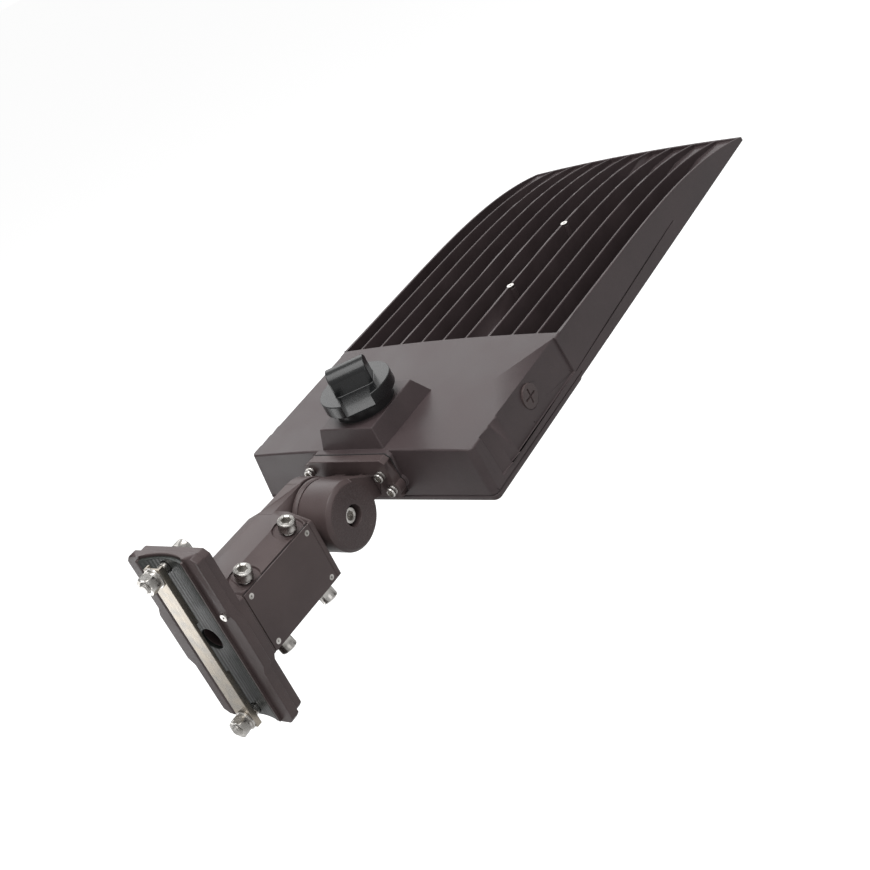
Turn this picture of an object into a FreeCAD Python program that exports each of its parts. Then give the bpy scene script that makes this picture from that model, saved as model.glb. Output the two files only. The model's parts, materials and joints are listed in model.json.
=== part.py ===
import FreeCAD, Part
import math
import os

from FreeCAD import Vector

# Shoebox area light on a pole saddle, in millimetres.
# World frame: origin at the centre of the pole seat, +X out along the arm, +Z up along the pole.
# Lamp frame: x = 0 where the driver box meets the fins, z = 0 at the underside of the casting,
# y = 0 at the lamp's centre plane. Lamp parts are drawn level there and then tilted about the pivot.

# ---- clearances -----------------------------------------------------------------------------
RUNNING_FIT = 0.06        # radial play of a turning fit
SCREW_PLAY = 0.05         # radial play of a screw in its tapped hole
HOLE_PLAY = 0.5           # radial play of a bolt in a through hole
FACE_GAP = 0.3            # gap between faces that slide past each other
POCKET_PLAY = 0.2         # side play of a piece in its pocket
NEAR = 1.0                # an edge closer than this to a plane counts as lying on it
DRIVE_SHARE = 0.6         # part of a small screw head's height that its drive recess takes

# ---- pole saddle ----------------------------------------------------------------------------
POLE_RADIUS = 76.0        # round pole that the concave seat takes
SEAT_DEPTH = 5.2          # how far the pole sinks between the lips
SEAT_HALF_WIDTH = 29.5    # outer edges of the two metal lips
PAD_HALF_WIDTH = 26.5     # the pad lies between the lips
PAD_HALF_LENGTH = 88.0
PAD_THICKNESS = 3.5
TIER_THICKNESS = 9.0      # each of the two steps of the saddle casting
TIER_HALF_WIDTH = 44.0
TIER_HALF_LENGTH = 90.5
TIER_STEP = 2.6           # how much the outer tier is smaller all round
TIER_CHAMFER = 5.0
WAIST_STEP = 4.4          # the middle of the saddle is this much wider each side
WAIST_HALF_LENGTH = 25.0
WAIST_RAMP = 8.0
WIRE_WAY_RADIUS = 11.0
STUB_RADIUS = 30.15       # round stub that the arm slips over
STUB_WALL = 3.9
STUB_WINDOW_HALF_HEIGHT = 14.0
BONDING_SCREW_Y = -38.5
BONDING_SCREW_Z = 30.3
BONDING_SCREW_RADIUS = 2.0
BONDING_HEAD_RADIUS = 3.5
BONDING_HEAD_HEIGHT = 2.2
BONDING_SCREW_LENGTH = 10.0

# ---- bolts of the pole clamp ----------------------------------------------------------------
M10_RADIUS = 5.0
M10_HEAD_RADIUS = 8.0
M10_HEAD_HEIGHT = 10.0
M10_SOCKET_FLATS = 8.0
M10_SOCKET_DEPTH = 5.0
M10_NUT_FLATS = 17.0
M10_NUT_HEIGHT = 8.0
POLE_BOLT_Z = 80.0
POLE_BOLT_LENGTH = 45.0
BACKING_HALF_WIDTH = 9.5
BACKING_HALF_LENGTH = 88.0
BACKING_SHEET = 2.5
BACKING_LEG = 6.0
BACKING_LEG_LOW = 3.2     # leg height in the cut-away middle
BACKING_CUT_HALF_LENGTH = 27.0
BACKING_WEB_X = -9.0      # outer face of the web
FLAT_WASHER_RADIUS = 10.0
FLAT_WASHER_THICKNESS = 2.0
SPRING_WASHER_RADIUS = 8.6
SPRING_WASHER_THICKNESS = 2.5

# ---- arm ------------------------------------------------------------------------------------
ARM_LENGTH = 105.3
ARM_HALF_WIDTH = 40.0
ARM_HALF_HEIGHT = 39.6
ARM_SIDE_HALF_HEIGHT = 30.4
ARM_TOP_HALF_WIDTH = 16.5
STUB_END_INSET = 8.0      # the stub stops this far inside the arm
ARM_END_WALL = 5.0
EAR_THICKNESS = 17.5
EAR_RADIUS = 35.4
PIVOT_REACH = 38.1        # from the arm's end to the pivot
PIVOT_Z = 4.3
CLAMP_FROM_END = 18.4
CLAMP_SPACING = 63.3
CLAMP_SPOT_RADIUS = 14.0  # pocket round each clamp bolt
CLAMP_SPOT_DEPTH = 2.5
CLAMP_HEAD_STAND = 0.7    # from the facet to the underside of the head
CLAMP_TIP_RADIUS = 3.8
CLAMP_TIP_LENGTH = 2.0
COVER_END_GAP_HEAD = 5.8  # from the arm's outer end to the wiring cover
COVER_END_GAP_SADDLE = 6.0
COVER_THICKNESS = 1.8
COVER_GASKET_THICKNESS = 0.8
COVER_SCREW_FROM_HEAD_END = 11.7
COVER_SCREW_SPACING = 81.2
COVER_SCREW_HALF_HEIGHT = 25.0
COVER_WINDOW_HALF_LENGTH = 30.0
COVER_WINDOW_HALF_HEIGHT = 16.0
M3_RADIUS = 1.5
M3_HEAD_RADIUS = 2.8
M3_SCREW_LENGTH = 9.0

# ---- knuckle --------------------------------------------------------------------------------
TILT_AT_REST = 3.0        # degrees nose up
TOOTH_COUNT = 60
TOOTH_HEIGHT = 1.5
TOOTH_INNER_RADIUS = 19.0
TOOTH_OUTER_RADIUS = 29.0
TOOTH_FILL = 0.86         # part of the pitch that a tooth's foot takes
LAMP_OFFSET_Y = -23.4     # lamp's centre plane beside the arm's
DISC_FACE_Y = -23.7       # near face of the knuckle disc, lamp frame
BARREL_RADIUS = 33.2
BARREL_CHAMFER = 3.5
COLLAR_RADIUS = 34.6
COLLAR_LENGTH = 5.2
COLLAR_GROOVE = 1.0       # width and depth of the groove in front of the collar
COUNTERBORE_RADIUS = 10.0
COUNTERBORE_DEPTH = 17.0
PIVOT_WASHER_RADIUS = 9.5
PIVOT_WASHER_THICKNESS = 2.0
PIVOT_BOLT_LENGTH = 66.0
PIVOT_TO_BOX = 229.3      # along the lamp, from the pivot to the front of the driver box
PIVOT_HEIGHT = 25.3       # above the underside of the casting
FLANGE_THICKNESS = 10.0
FLANGE_HALF_WIDTH = 47.4
FLANGE_BOTTOM = 11.0
FLANGE_TOP = 55.0
FLANGE_CORNER = 4.0
FLANGE_GASKET_THICKNESS = 0.8
FLANGE_OPENING_HALF_WIDTH = 25.0
FLANGE_OPENING_TOP = 36.5
FLANGE_OPENING_SLANT = 9.0
LUG_RADIUS = 8.0
NECK_TOP_AT_FLANGE = 33.1
NECK_BOTTOM_AT_FLANGE = 11.0
NECK_TANGENT_ANGLE = 58.0
NECK_FAR_Y = 18.0
NECK_WEB = 12.0           # each of the neck's two webs
NECK_POCKET_GAP = 1.0     # from the barrel to the pocket between the webs
BRACKET_BOLTS = [(-37.0, 38.5), (-42.0, 22.0), (46.4, 44.4), (46.4, 22.0)]
M6_RADIUS = 3.0
M6_HEAD_RADIUS = 5.0
M6_HEAD_HEIGHT = 6.0
M6_SOCKET_FLATS = 5.0
M6_SOCKET_DEPTH = 3.0
M6_GRIP = 13.0            # bolt length in the casting behind the flange

# ---- lamp casting ---------------------------------------------------------------------------
BASE_HALF_WIDTH = 142.7   # at the underside
SIDE_DRAFT = 0.1095       # inward lean of the sides per mm of height
REAR_TOP_X = -174.5
REAR_LEAN = 3.8           # the rear face's foot stands this much further out
DECK_AT_FRONT = 53.0
DECK_SLOPE = 0.0146       # rise towards the rear
CROWN = 4.07              # drop of the top surface at CROWN_SPAN from the middle
CROWN_SPAN = 146.0
FIN_SLOPE = 0.0295
FIN_CURVE = 9.9e-7
FIN_CURVE_START = 123.0
FIN_STATIONS = [200.0, 270.0, 330.0, 385.0]  # cross-sections of the curved stretch
TIP_X = 440.6
FIN_PITCH = 28.0
FIN_COUNT = 9
FIN_THICKNESS = 2.6
SIDE_WALL = 3.2
FIN_FLOOR = 14.0
FLOOR_DROP_START = 380.0
FLOOR_DROP_END = 434.0
FLOOR_AT_TIP = 4.5
CASTING_FILLET = 2.0
REAR_CORNER_RADIUS = 7.0
BOX_WALL = 8.0
BOX_ROOF = 3.6
BOX_REAR_WALL = 7.0
BOX_FRONT_WALL = 5.0
PAD_STAND = 5.0           # rear pad stands out this far
PANEL_DEPTH = 2.2
PANEL_BOTTOM = 10.0
PANEL_FRONT_X = -9.5
RIB_PLACES = [-127.0, -141.5, -157.5]  # crests of the saw-tooth ribs on the sides
FOOT_GROOVE_BOTTOM = 3.2  # groove above the foot of the driver box
FOOT_GROOVE_HEIGHT = 1.0
FOOT_GROOVE_DEPTH = 0.8
GROOVE_START = (-8.6, 9.4)
GROOVE_END = (245.0, 16.1)
GROOVE_WIDTH = 1.0
GROOVE_DEPTH = 0.6
BOSS_BASE_HALF_WIDTH = 39.6
BOSS_BASE_FRONT_X = -82.0
BOSS_TOP_HALF_WIDTH = 32.5
BOSS_TOP_REAR_X = -168.5
BOSS_TOP_FRONT_X = -97.0
BOSS_TOP = 75.8
BOSS_FILLET = 1.5
SOCKET_X = -131.6         # axis of the photocontrol socket
FIN_SCREW_PLACES = [95.0, 221.0]
FIN_SCREW_Y = -28.0
FIN_BOSS_RADIUS = 4.0
FIN_SCREW_DROP = 3.0      # boss top below the fin's top edge
WIRE_HOLE_RADIUS = 7.0
WIRE_HOLE_Z = 24.0
LED_WIRE_HOLE_RADIUS = 2.0
LED_WIRE_HOLE_Z = 4.0

# ---- driver compartment ---------------------------------------------------------------------
DOOR_THICKNESS = 2.6
DOOR_INSET = 1.4
SEAL_WIDTH = 3.0
SEAL_DEPTH = 1.2
SEAL_MARGIN = 0.8         # from the compartment's walls to the seal
DOOR_SCREW_LENGTH = 14.0
DOOR_SCREW_END_INSET = 12.0
DOOR_SCREW_EDGE_INSET = 4.3
DRIVER_SIZE = (138.0, 66.0, 36.0)
DRIVER_CENTRE = (-86.0, 80.0)
DRIVER_TAB = 8.0
DRIVER_TAB_THICKNESS = 3.0
SURGE_SIZE = (62.0, 46.0, 30.0)
SURGE_CENTRE = (-60.0, -95.0)
TERMINAL_SIZE = (22.0, 52.0, 22.0)
TERMINAL_CENTRE = (-146.0, -88.0)
TERMINAL_WAYS = 5
TERMINAL_FEED_RADIUS = 2.4
M4_RADIUS = 2.0
M4_HEAD_RADIUS = 3.8
M4_HEAD_HEIGHT = 2.6
M4_SCREW_LENGTH = 9.0
PLUG_X = -76.7
PLUG_Z = 33.9
PLUG_HEAD_RADIUS = 12.0
PLUG_HEAD_HEIGHT = 2.4
PLUG_RADIUS = 10.0
PLUG_LENGTH = 9.0
PLUG_SLOT_WIDTH = 1.8
PLUG_SLOT_DEPTH = 1.4
PLUG_SLOT_HALF_LENGTH = 8.0
O_RING_SECTION = 1.5

# ---- light side -----------------------------------------------------------------------------
LED_CAVITY_START = 9.0
LED_CAVITY_END = 384.0
LED_CAVITY_HALF_WIDTH = 131.0
LED_CAVITY_DEPTH = 7.5
BOARD_THICKNESS = 1.6
BOARD_MARGIN = 5.0
BOARD_GAP = 8.0
CHIP_SIZE = 3.5
CHIP_HEIGHT = 0.7
LED_ROWS = 5
LED_COLUMNS = 14
LENS_PLATE_THICKNESS = 2.0
LENS_STANDOFF = 1.4       # from the board to the lens plate
LENS_DOME_RADIUS = 6.3
LENS_DOME_HEIGHT = 3.2
BEZEL_THICKNESS = 2.4
BEZEL_BORDER = 12.0
BEZEL_OVERLAP = 6.0
BEZEL_SCREW_COUNT = 5
LENS_GASKET_WIDTH = 4.0

# ---- photocontrol socket and cap ------------------------------------------------------------
SOCKET_FLANGE_RADIUS = 29.0
SOCKET_BODY_RADIUS = 26.0
SOCKET_GASKET_THICKNESS = 0.8
SOCKET_FLANGE_TOP = 84.4
SOCKET_FACE_RADIUS = 22.5
SOCKET_FACE_TOP = 89.0
SOCKET_BOTTOM = 52.0
RETAINER_RADIUS = 29.5
RETAINER_THICKNESS = 4.0
CAP_RADIUS = 35.5
CAP_BOTTOM = 86.0
CAP_TOP = 99.0
CAP_CAVITY_RADIUS = 24.0
CAP_CAVITY_TOP = 90.0
CAP_GASKET_INNER = 26.0
CAP_GASKET_OUTER = 32.0
CAP_GASKET_THICKNESS = 1.5
CAP_TWIST = -53.0         # direction of the grip, degrees from the lamp's length
CAP_FILLET = 1.0
GRIP_HALF_LENGTH = 19.0
GRIP_HALF_WIDTH = 13.0
GRIP_SHOULDER = 113.0
GRIP_TOP = 122.0
GRIP_CORNER = 3.0
SCALLOP_HALF_WIDTH = 14.5
SCALLOP_FOOT = 32.0       # where the scallop's floor meets the cap's underside, from the axis
BLADE_COUNT = 3
BLADE_RADIUS = 13.0
BLADE_THICKNESS = 1.6
BLADE_SWEEP = 34.0        # degrees
BLADE_BOTTOM = 72.0
BLADE_SLOT_PLAY = 0.5
UNLOCK_TURN = 35.0        # degrees that the cap turns to unlock

# ---- worked out from the above --------------------------------------------------------------
SEAT_AXIS_X = SEAT_DEPTH - POLE_RADIUS
PAD_BACK_RADIUS = POLE_RADIUS + PAD_THICKNESS
SHOULDER_X = SEAT_AXIS_X + math.sqrt(PAD_BACK_RADIUS ** 2 - SEAT_HALF_WIDTH ** 2)
SADDLE_FRONT_X = SHOULDER_X + 2 * TIER_THICKNESS
ARM_START_X = SADDLE_FRONT_X + FACE_GAP
ARM_END_X = ARM_START_X + ARM_LENGTH
STUB_END_X = ARM_END_X - STUB_END_INSET
PIVOT_X = ARM_END_X + PIVOT_REACH
BORE_RADIUS = STUB_RADIUS + RUNNING_FIT
EAR_FACE_Y = -LAMP_OFFSET_Y            # arm's serrated face, lamp frame
BARREL_END_Y = EAR_FACE_Y - 2 * TOOTH_HEIGHT - FACE_GAP
PIVOT_LAMP_X = -PIVOT_TO_BOX
FLANGE_BACK_X = REAR_TOP_X - PAD_STAND
FLANGE_FRONT_X = FLANGE_BACK_X - FLANGE_GASKET_THICKNESS
FLANGE_FACE_X = FLANGE_FRONT_X - FLANGE_THICKNESS
COVER_FLOOR_Y = -ARM_HALF_WIDTH + COVER_THICKNESS + COVER_GASKET_THICKNESS
FACET_ANGLE = math.atan2(ARM_HALF_HEIGHT - ARM_SIDE_HALF_HEIGHT, ARM_HALF_WIDTH - ARM_TOP_HALF_WIDTH)
CLAMP_PLACES = [ARM_END_X - CLAMP_FROM_END, ARM_END_X - CLAMP_FROM_END - CLAMP_SPACING]
DOOR_REAR_X = REAR_TOP_X - REAR_LEAN + DOOR_INSET
DOOR_HALF_WIDTH = BASE_HALF_WIDTH - DOOR_INSET
BOX_INNER_REAR_X = REAR_TOP_X + BOX_REAR_WALL
BOX_INNER_FRONT_X = -BOX_FRONT_WALL
BOX_INNER_HALF_WIDTH = BASE_HALF_WIDTH - BOX_WALL
ALONG_Y = Vector(0, 1, 0)


# ---- small helpers --------------------------------------------------------------------------
def block(x0, x1, y0, y1, z0, z1):
    return Part.makeBox(x1 - x0, y1 - y0, z1 - z0, Vector(x0, y0, z0))


def rod(radius, start, end):
    axis = end - start
    return Part.makeCylinder(radius, axis.Length, start, axis)


def cone(start_radius, end_radius, start, end):
    axis = end - start
    return Part.makeCone(start_radius, end_radius, axis.Length, start, axis)


def ring(outer, inner, start, end):
    return rod(outer, start, end).cut(rod(inner, start, end))


def prism(points, travel):
    outline = Part.makePolygon(points + [points[0]])
    return Part.Face(outline).extrude(travel)


def hex_prism(flats, start, end):
    """Hexagonal prism, flats apart, from start to end."""
    axis = end - start
    corner = flats / math.sqrt(3)
    points = []
    for index in range(6):
        angle = math.radians(60 * index)
        points.append(Vector(corner * math.cos(angle), corner * math.sin(angle), 0))
    shape = prism(points, Vector(0, 0, axis.Length))
    shape.Placement = FreeCAD.Placement(start, FreeCAD.Rotation(Vector(0, 0, 1), axis))
    return shape


def joined(shapes):
    return shapes[0].multiFuse(shapes[1:]).removeSplitter()


def mirrored_y(shape):
    return shape.mirror(Vector(0, 0, 0), Vector(0, 1, 0))


def socket_bolt(head_seat, direction, radius, length, head_radius, head_height, flats, depth):
    """Socket head cap screw; direction points from the head to the tip."""
    way = Vector(direction).normalize()
    head_top = head_seat - way * head_height
    body = rod(head_radius, head_top, head_seat)
    shank = rod(radius, head_seat, head_seat + way * length)
    socket = hex_prism(flats, head_top, head_top + way * depth)
    return body.fuse(shank).cut(socket)


def countersunk_screw(face_point, direction, radius, head_radius, length):
    """Flat-head screw whose head is flush with face_point; direction points to the tip."""
    way = Vector(direction).normalize()
    head_height = head_radius - radius
    head = cone(head_radius, radius, face_point, face_point + way * head_height)
    shank = rod(radius, face_point, face_point + way * length)
    slot = hex_prism(radius, face_point, face_point + way * head_height * DRIVE_SHARE)
    return head.fuse(shank).cut(slot)


def countersink(face_point, direction, radius, head_radius, depth):
    """Room for a flat-head screw."""
    way = Vector(direction).normalize()
    head_height = head_radius - radius
    start = face_point - way * SCREW_PLAY
    head = cone(head_radius + SCREW_PLAY, radius + SCREW_PLAY, start, start + way * head_height)
    return head.fuse(rod(radius + SCREW_PLAY, start, face_point + way * depth))


def pan_screw(seat, direction, radius, length, head_radius, head_height):
    way = Vector(direction).normalize()
    head = rod(head_radius, seat - way * head_height, seat)
    shank = rod(radius, seat, seat + way * length)
    slot = hex_prism(radius, seat - way * head_height, seat - way * head_height * (1 - DRIVE_SHARE))
    return head.fuse(shank).cut(slot)


def in_place(shape):
    """Move a shape from the lamp frame to its tilted place on the arm."""
    shape = shape.copy()
    shape.translate(Vector(PIVOT_TO_BOX, 0, -PIVOT_HEIGHT))
    shape.rotate(Vector(0, 0, 0), Vector(0, 1, 0), -TILT_AT_REST)
    shape.translate(Vector(PIVOT_X, LAMP_OFFSET_Y, PIVOT_Z))
    return shape


def save(name, shape):
    if not shape.isValid():
        raise RuntimeError(name + " isn't a valid solid")
    shape.exportStep("parts/" + name + ".step")
    print(name, len(shape.Solids), round(shape.Volume))


def save_lamp(name, shape):
    save(name, in_place(shape))


# ---- pole saddle ----------------------------------------------------------------------------
def tier_outline(half_width, half_length, x):
    """Chamfered outline of one tier, wider in the middle third."""
    ramp = WAIST_HALF_LENGTH + WAIST_RAMP
    side = [
        (half_width - TIER_CHAMFER, half_length),
        (half_width, half_length - TIER_CHAMFER),
        (half_width, ramp),
        (half_width + WAIST_STEP, WAIST_HALF_LENGTH),
    ]
    right = side + [(y, -z) for y, z in reversed(side)]
    left = [(-y, z) for y, z in reversed(right)]
    return [Vector(x, y, z) for y, z in right + left]


def seat_cylinder(radius):
    half = 2 * TIER_HALF_LENGTH
    return rod(radius, Vector(SEAT_AXIS_X, 0, -half), Vector(SEAT_AXIS_X, 0, half))


def pole_bolt_places():
    return [POLE_BOLT_Z, -POLE_BOLT_Z]


def pad_room(half_length):
    """The pad's share of the concave seat, as deep as the pad's back."""
    slab = block(0, 2 * TIER_THICKNESS, -PAD_HALF_WIDTH, PAD_HALF_WIDTH, -half_length, half_length)
    return slab.common(seat_cylinder(PAD_BACK_RADIUS))


def make_saddle_plate():
    inner = prism(tier_outline(TIER_HALF_WIDTH, TIER_HALF_LENGTH, SHOULDER_X), Vector(TIER_THICKNESS, 0, 0))
    outer = prism(
        tier_outline(TIER_HALF_WIDTH - TIER_STEP, TIER_HALF_LENGTH - TIER_STEP, SHOULDER_X + TIER_THICKNESS),
        Vector(TIER_THICKNESS, 0, 0),
    )
    middle = SHOULDER_X + TIER_THICKNESS
    stub = rod(STUB_RADIUS, Vector(middle, 0, 0), Vector(STUB_END_X, 0, 0))
    stub_bore = rod(STUB_RADIUS - STUB_WALL, Vector(SADDLE_FRONT_X, 0, 0), Vector(ARM_END_X, 0, 0))
    wire_way = rod(WIRE_WAY_RADIUS, Vector(SEAT_AXIS_X, 0, 0), Vector(ARM_END_X, 0, 0))
    holes = [
        rod(M10_RADIUS + HOLE_PLAY, Vector(SEAT_AXIS_X, 0, z), Vector(ARM_END_X, 0, z))
        for z in pole_bolt_places()
    ]
    window = block(
        cover_centre_x() - COVER_WINDOW_HALF_LENGTH,
        cover_centre_x() + COVER_WINDOW_HALF_LENGTH,
        -2 * STUB_RADIUS,
        0,
        -STUB_WINDOW_HALF_HEIGHT,
        STUB_WINDOW_HALF_HEIGHT,
    )
    screw_hole = rod(
        BONDING_SCREW_RADIUS + SCREW_PLAY,
        Vector(0, BONDING_SCREW_Y, BONDING_SCREW_Z),
        Vector(SHOULDER_X + BONDING_SCREW_LENGTH, BONDING_SCREW_Y, BONDING_SCREW_Z),
    )
    length = PAD_HALF_LENGTH
    lips = [
        block(0, middle, PAD_HALF_WIDTH, SEAT_HALF_WIDTH, -length, length),
        block(0, middle, -SEAT_HALF_WIDTH, -PAD_HALF_WIDTH, -length, length),
    ]
    body = joined([inner, outer, stub] + lips)
    seat_room = [pad_room(TIER_HALF_LENGTH), seat_cylinder(POLE_RADIUS + FACE_GAP)]
    return body.cut(seat_room + [stub_bore, wire_way, window, screw_hole] + holes)


def make_saddle_pad():
    pad = pad_room(PAD_HALF_LENGTH).cut(seat_cylinder(POLE_RADIUS))
    wire_way = rod(WIRE_WAY_RADIUS, Vector(SEAT_AXIS_X, 0, 0), Vector(ARM_END_X, 0, 0))
    holes = [
        rod(M10_RADIUS + HOLE_PLAY, Vector(SEAT_AXIS_X, 0, z), Vector(ARM_END_X, 0, z))
        for z in pole_bolt_places()
    ]
    return pad.cut([wire_way] + holes)


def make_bonding_screw():
    seat = Vector(SHOULDER_X, BONDING_SCREW_Y, BONDING_SCREW_Z)
    return pan_screw(
        seat,
        Vector(1, 0, 0),
        BONDING_SCREW_RADIUS,
        BONDING_SCREW_LENGTH,
        BONDING_HEAD_RADIUS,
        BONDING_HEAD_HEIGHT,
    )


def make_pole_bolts():
    bolts = []
    for z in pole_bolt_places():
        bolts.append(
            socket_bolt(
                Vector(SADDLE_FRONT_X, 0, z),
                Vector(-1, 0, 0),
                M10_RADIUS,
                POLE_BOLT_LENGTH,
                M10_HEAD_RADIUS,
                M10_HEAD_HEIGHT,
                M10_SOCKET_FLATS,
                M10_SOCKET_DEPTH,
            )
        )
    return Part.makeCompound(bolts)


def make_backing_channel():
    half = BACKING_HALF_WIDTH
    tip_x = BACKING_WEB_X + BACKING_LEG
    low_x = BACKING_WEB_X + BACKING_LEG_LOW
    length = BACKING_HALF_LENGTH
    body = block(BACKING_WEB_X, tip_x, -half, half, -length, length)
    hollow = block(
        BACKING_WEB_X + BACKING_SHEET,
        tip_x,
        BACKING_SHEET - half,
        half - BACKING_SHEET,
        -length,
        length,
    )
    cut = BACKING_CUT_HALF_LENGTH
    middle = block(low_x, tip_x, -half, half, -cut, cut)
    holes = [
        rod(M10_RADIUS + HOLE_PLAY, Vector(BACKING_WEB_X, 0, z), Vector(tip_x, 0, z))
        for z in pole_bolt_places()
    ]
    return body.cut([hollow, middle] + holes)


def stacked_rings(start_x, outer, thickness):
    """One ring round each pole bolt, laid on the pole side of start_x."""
    inner = M10_RADIUS + FACE_GAP
    rings = []
    for z in pole_bolt_places():
        rings.append(ring(outer, inner, Vector(start_x - thickness, 0, z), Vector(start_x, 0, z)))
    return Part.makeCompound(rings)


def make_pole_nuts():
    start_x = BACKING_WEB_X - FLAT_WASHER_THICKNESS - SPRING_WASHER_THICKNESS
    nuts = []
    for z in pole_bolt_places():
        start = Vector(start_x, 0, z)
        end = Vector(start_x - M10_NUT_HEIGHT, 0, z)
        nuts.append(hex_prism(M10_NUT_FLATS, start, end).cut(rod(M10_RADIUS + RUNNING_FIT, start, end)))
    return Part.makeCompound(nuts)


# ---- arm ------------------------------------------------------------------------------------
def cover_start_x():
    return ARM_START_X + COVER_END_GAP_SADDLE


def cover_end_x():
    return ARM_END_X - COVER_END_GAP_HEAD


def cover_centre_x():
    return (cover_start_x() + cover_end_x()) / 2


def cover_screw_places():
    outer = ARM_END_X - COVER_SCREW_FROM_HEAD_END
    places = []
    for x in (outer, outer - COVER_SCREW_SPACING):
        for z in (COVER_SCREW_HALF_HEIGHT, -COVER_SCREW_HALF_HEIGHT):
            places.append((x, z))
    return places


def clamp_axis(x, side):
    """Point on the slanted facet and the outward direction of a clamp bolt; side is +1 top, -1 bottom."""
    middle_y = -(ARM_HALF_WIDTH + ARM_TOP_HALF_WIDTH) / 2
    middle_z = (ARM_HALF_HEIGHT + ARM_SIDE_HALF_HEIGHT) / 2
    point = Vector(x, middle_y, side * middle_z)
    outward = Vector(0, -math.sin(FACET_ANGLE), side * math.cos(FACET_ANGLE))
    return point, outward


def clamp_depth():
    """How far below the facet the bolt's tip stops, just clear of the stub."""
    point, outward = clamp_axis(0, 1)
    along = point.dot(outward)
    aside = math.sqrt(point.Length ** 2 - along ** 2) - CLAMP_TIP_RADIUS
    return along - math.sqrt((STUB_RADIUS + FACE_GAP) ** 2 - aside ** 2)


def clamp_sites():
    return [clamp_axis(x, side) for x in CLAMP_PLACES for side in (1, -1)]


def tooth_ring(base, tip_direction, centre, turn):
    """Serration: radial teeth standing on the plane y = base round centre (x, z)."""
    pitch = 360.0 / TOOTH_COUNT
    teeth = []
    for index in range(TOOTH_COUNT):
        wires = []
        for radius in (TOOTH_INNER_RADIUS, TOOTH_OUTER_RADIUS):
            half = radius * math.radians(pitch) * TOOTH_FILL / 2
            foot = Vector(radius, base, -half)
            crest = Vector(radius, base + tip_direction * TOOTH_HEIGHT, 0)
            far = Vector(radius, base, half)
            wires.append(Part.makePolygon([foot, crest, far, foot]))
        tooth = Part.makeLoft(wires, True, True)
        tooth.rotate(Vector(0, 0, 0), Vector(0, 1, 0), index * pitch + turn)
        tooth.translate(Vector(centre[0], 0, centre[1]))
        teeth.append(tooth)
    return teeth


def make_arm_body():
    x0 = ARM_START_X
    octagon = [
        (-ARM_HALF_WIDTH, ARM_SIDE_HALF_HEIGHT),
        (-ARM_TOP_HALF_WIDTH, ARM_HALF_HEIGHT),
        (ARM_TOP_HALF_WIDTH, ARM_HALF_HEIGHT),
        (ARM_HALF_WIDTH, ARM_SIDE_HALF_HEIGHT),
    ]
    octagon = octagon + [(y, -z) for y, z in reversed(octagon)]
    sleeve = prism([Vector(x0, y, z) for y, z in octagon], Vector(ARM_LENGTH, 0, 0))
    ear_start_x = ARM_END_X - ARM_END_WALL
    ear = block(
        ear_start_x, PIVOT_X, 0, EAR_THICKNESS, PIVOT_Z - EAR_RADIUS, PIVOT_Z + EAR_RADIUS
    )
    pivot_near = Vector(PIVOT_X, 0, PIVOT_Z)
    pivot_far = Vector(PIVOT_X, EAR_THICKNESS, PIVOT_Z)
    round_end = rod(EAR_RADIUS, pivot_near, pivot_far)
    body = joined([sleeve, ear, round_end])
    teeth = tooth_ring(0, -1, (PIVOT_X, PIVOT_Z), 0)
    body = body.multiFuse(teeth)
    cuts = [rod(BORE_RADIUS, Vector(x0, 0, 0), Vector(ARM_END_X - ARM_END_WALL, 0, 0))]
    cuts.append(rod(M10_RADIUS + HOLE_PLAY, pivot_near - ALONG_Y * TOOTH_HEIGHT * 2, pivot_far))
    cuts.append(
        block(
            cover_start_x() - POCKET_PLAY,
            cover_end_x() + POCKET_PLAY,
            -2 * ARM_HALF_WIDTH,
            COVER_FLOOR_Y,
            -ARM_HALF_HEIGHT,
            ARM_HALF_HEIGHT,
        )
    )
    cuts.append(
        block(
            cover_centre_x() - COVER_WINDOW_HALF_LENGTH,
            cover_centre_x() + COVER_WINDOW_HALF_LENGTH,
            -ARM_HALF_WIDTH,
            0,
            -COVER_WINDOW_HALF_HEIGHT,
            COVER_WINDOW_HALF_HEIGHT,
        )
    )
    for x, z in cover_screw_places():
        face = Vector(x, -ARM_HALF_WIDTH, z)
        cuts.append(rod(M3_RADIUS + SCREW_PLAY, face, face + ALONG_Y * M3_SCREW_LENGTH))
    for point, outward in clamp_sites():
        spot_floor = point - outward * CLAMP_SPOT_DEPTH
        cuts.append(rod(CLAMP_SPOT_RADIUS, spot_floor, point + outward * M10_HEAD_HEIGHT))
        cuts.append(rod(M10_RADIUS + SCREW_PLAY, point - outward * (STUB_RADIUS - CLAMP_SPOT_DEPTH), point))
    return body.cut(cuts)


def make_clamp_bolts():
    bolts = []
    length = clamp_depth() + CLAMP_HEAD_STAND
    for point, outward in clamp_sites():
        seat = point + outward * CLAMP_HEAD_STAND
        bolt = socket_bolt(
            seat,
            outward * -1,
            M10_RADIUS,
            length - CLAMP_TIP_LENGTH,
            M10_HEAD_RADIUS,
            M10_HEAD_HEIGHT,
            M10_SOCKET_FLATS,
            M10_SOCKET_DEPTH,
        )
        tip = rod(CLAMP_TIP_RADIUS, seat - outward * (length - CLAMP_TIP_LENGTH), seat - outward * length)
        bolts.append(bolt.fuse(tip))
    return Part.makeCompound(bolts)


def cover_plate(y0, y1):
    return block(cover_start_x(), cover_end_x(), y0, y1, -ARM_SIDE_HALF_HEIGHT, ARM_SIDE_HALF_HEIGHT)


def make_wiring_cover():
    plate = cover_plate(-ARM_HALF_WIDTH, -ARM_HALF_WIDTH + COVER_THICKNESS)
    holes = []
    for x, z in cover_screw_places():
        face = Vector(x, -ARM_HALF_WIDTH, z)
        holes.append(countersink(face, ALONG_Y, M3_RADIUS, M3_HEAD_RADIUS, M3_SCREW_LENGTH))
    return plate.cut(holes)


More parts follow.
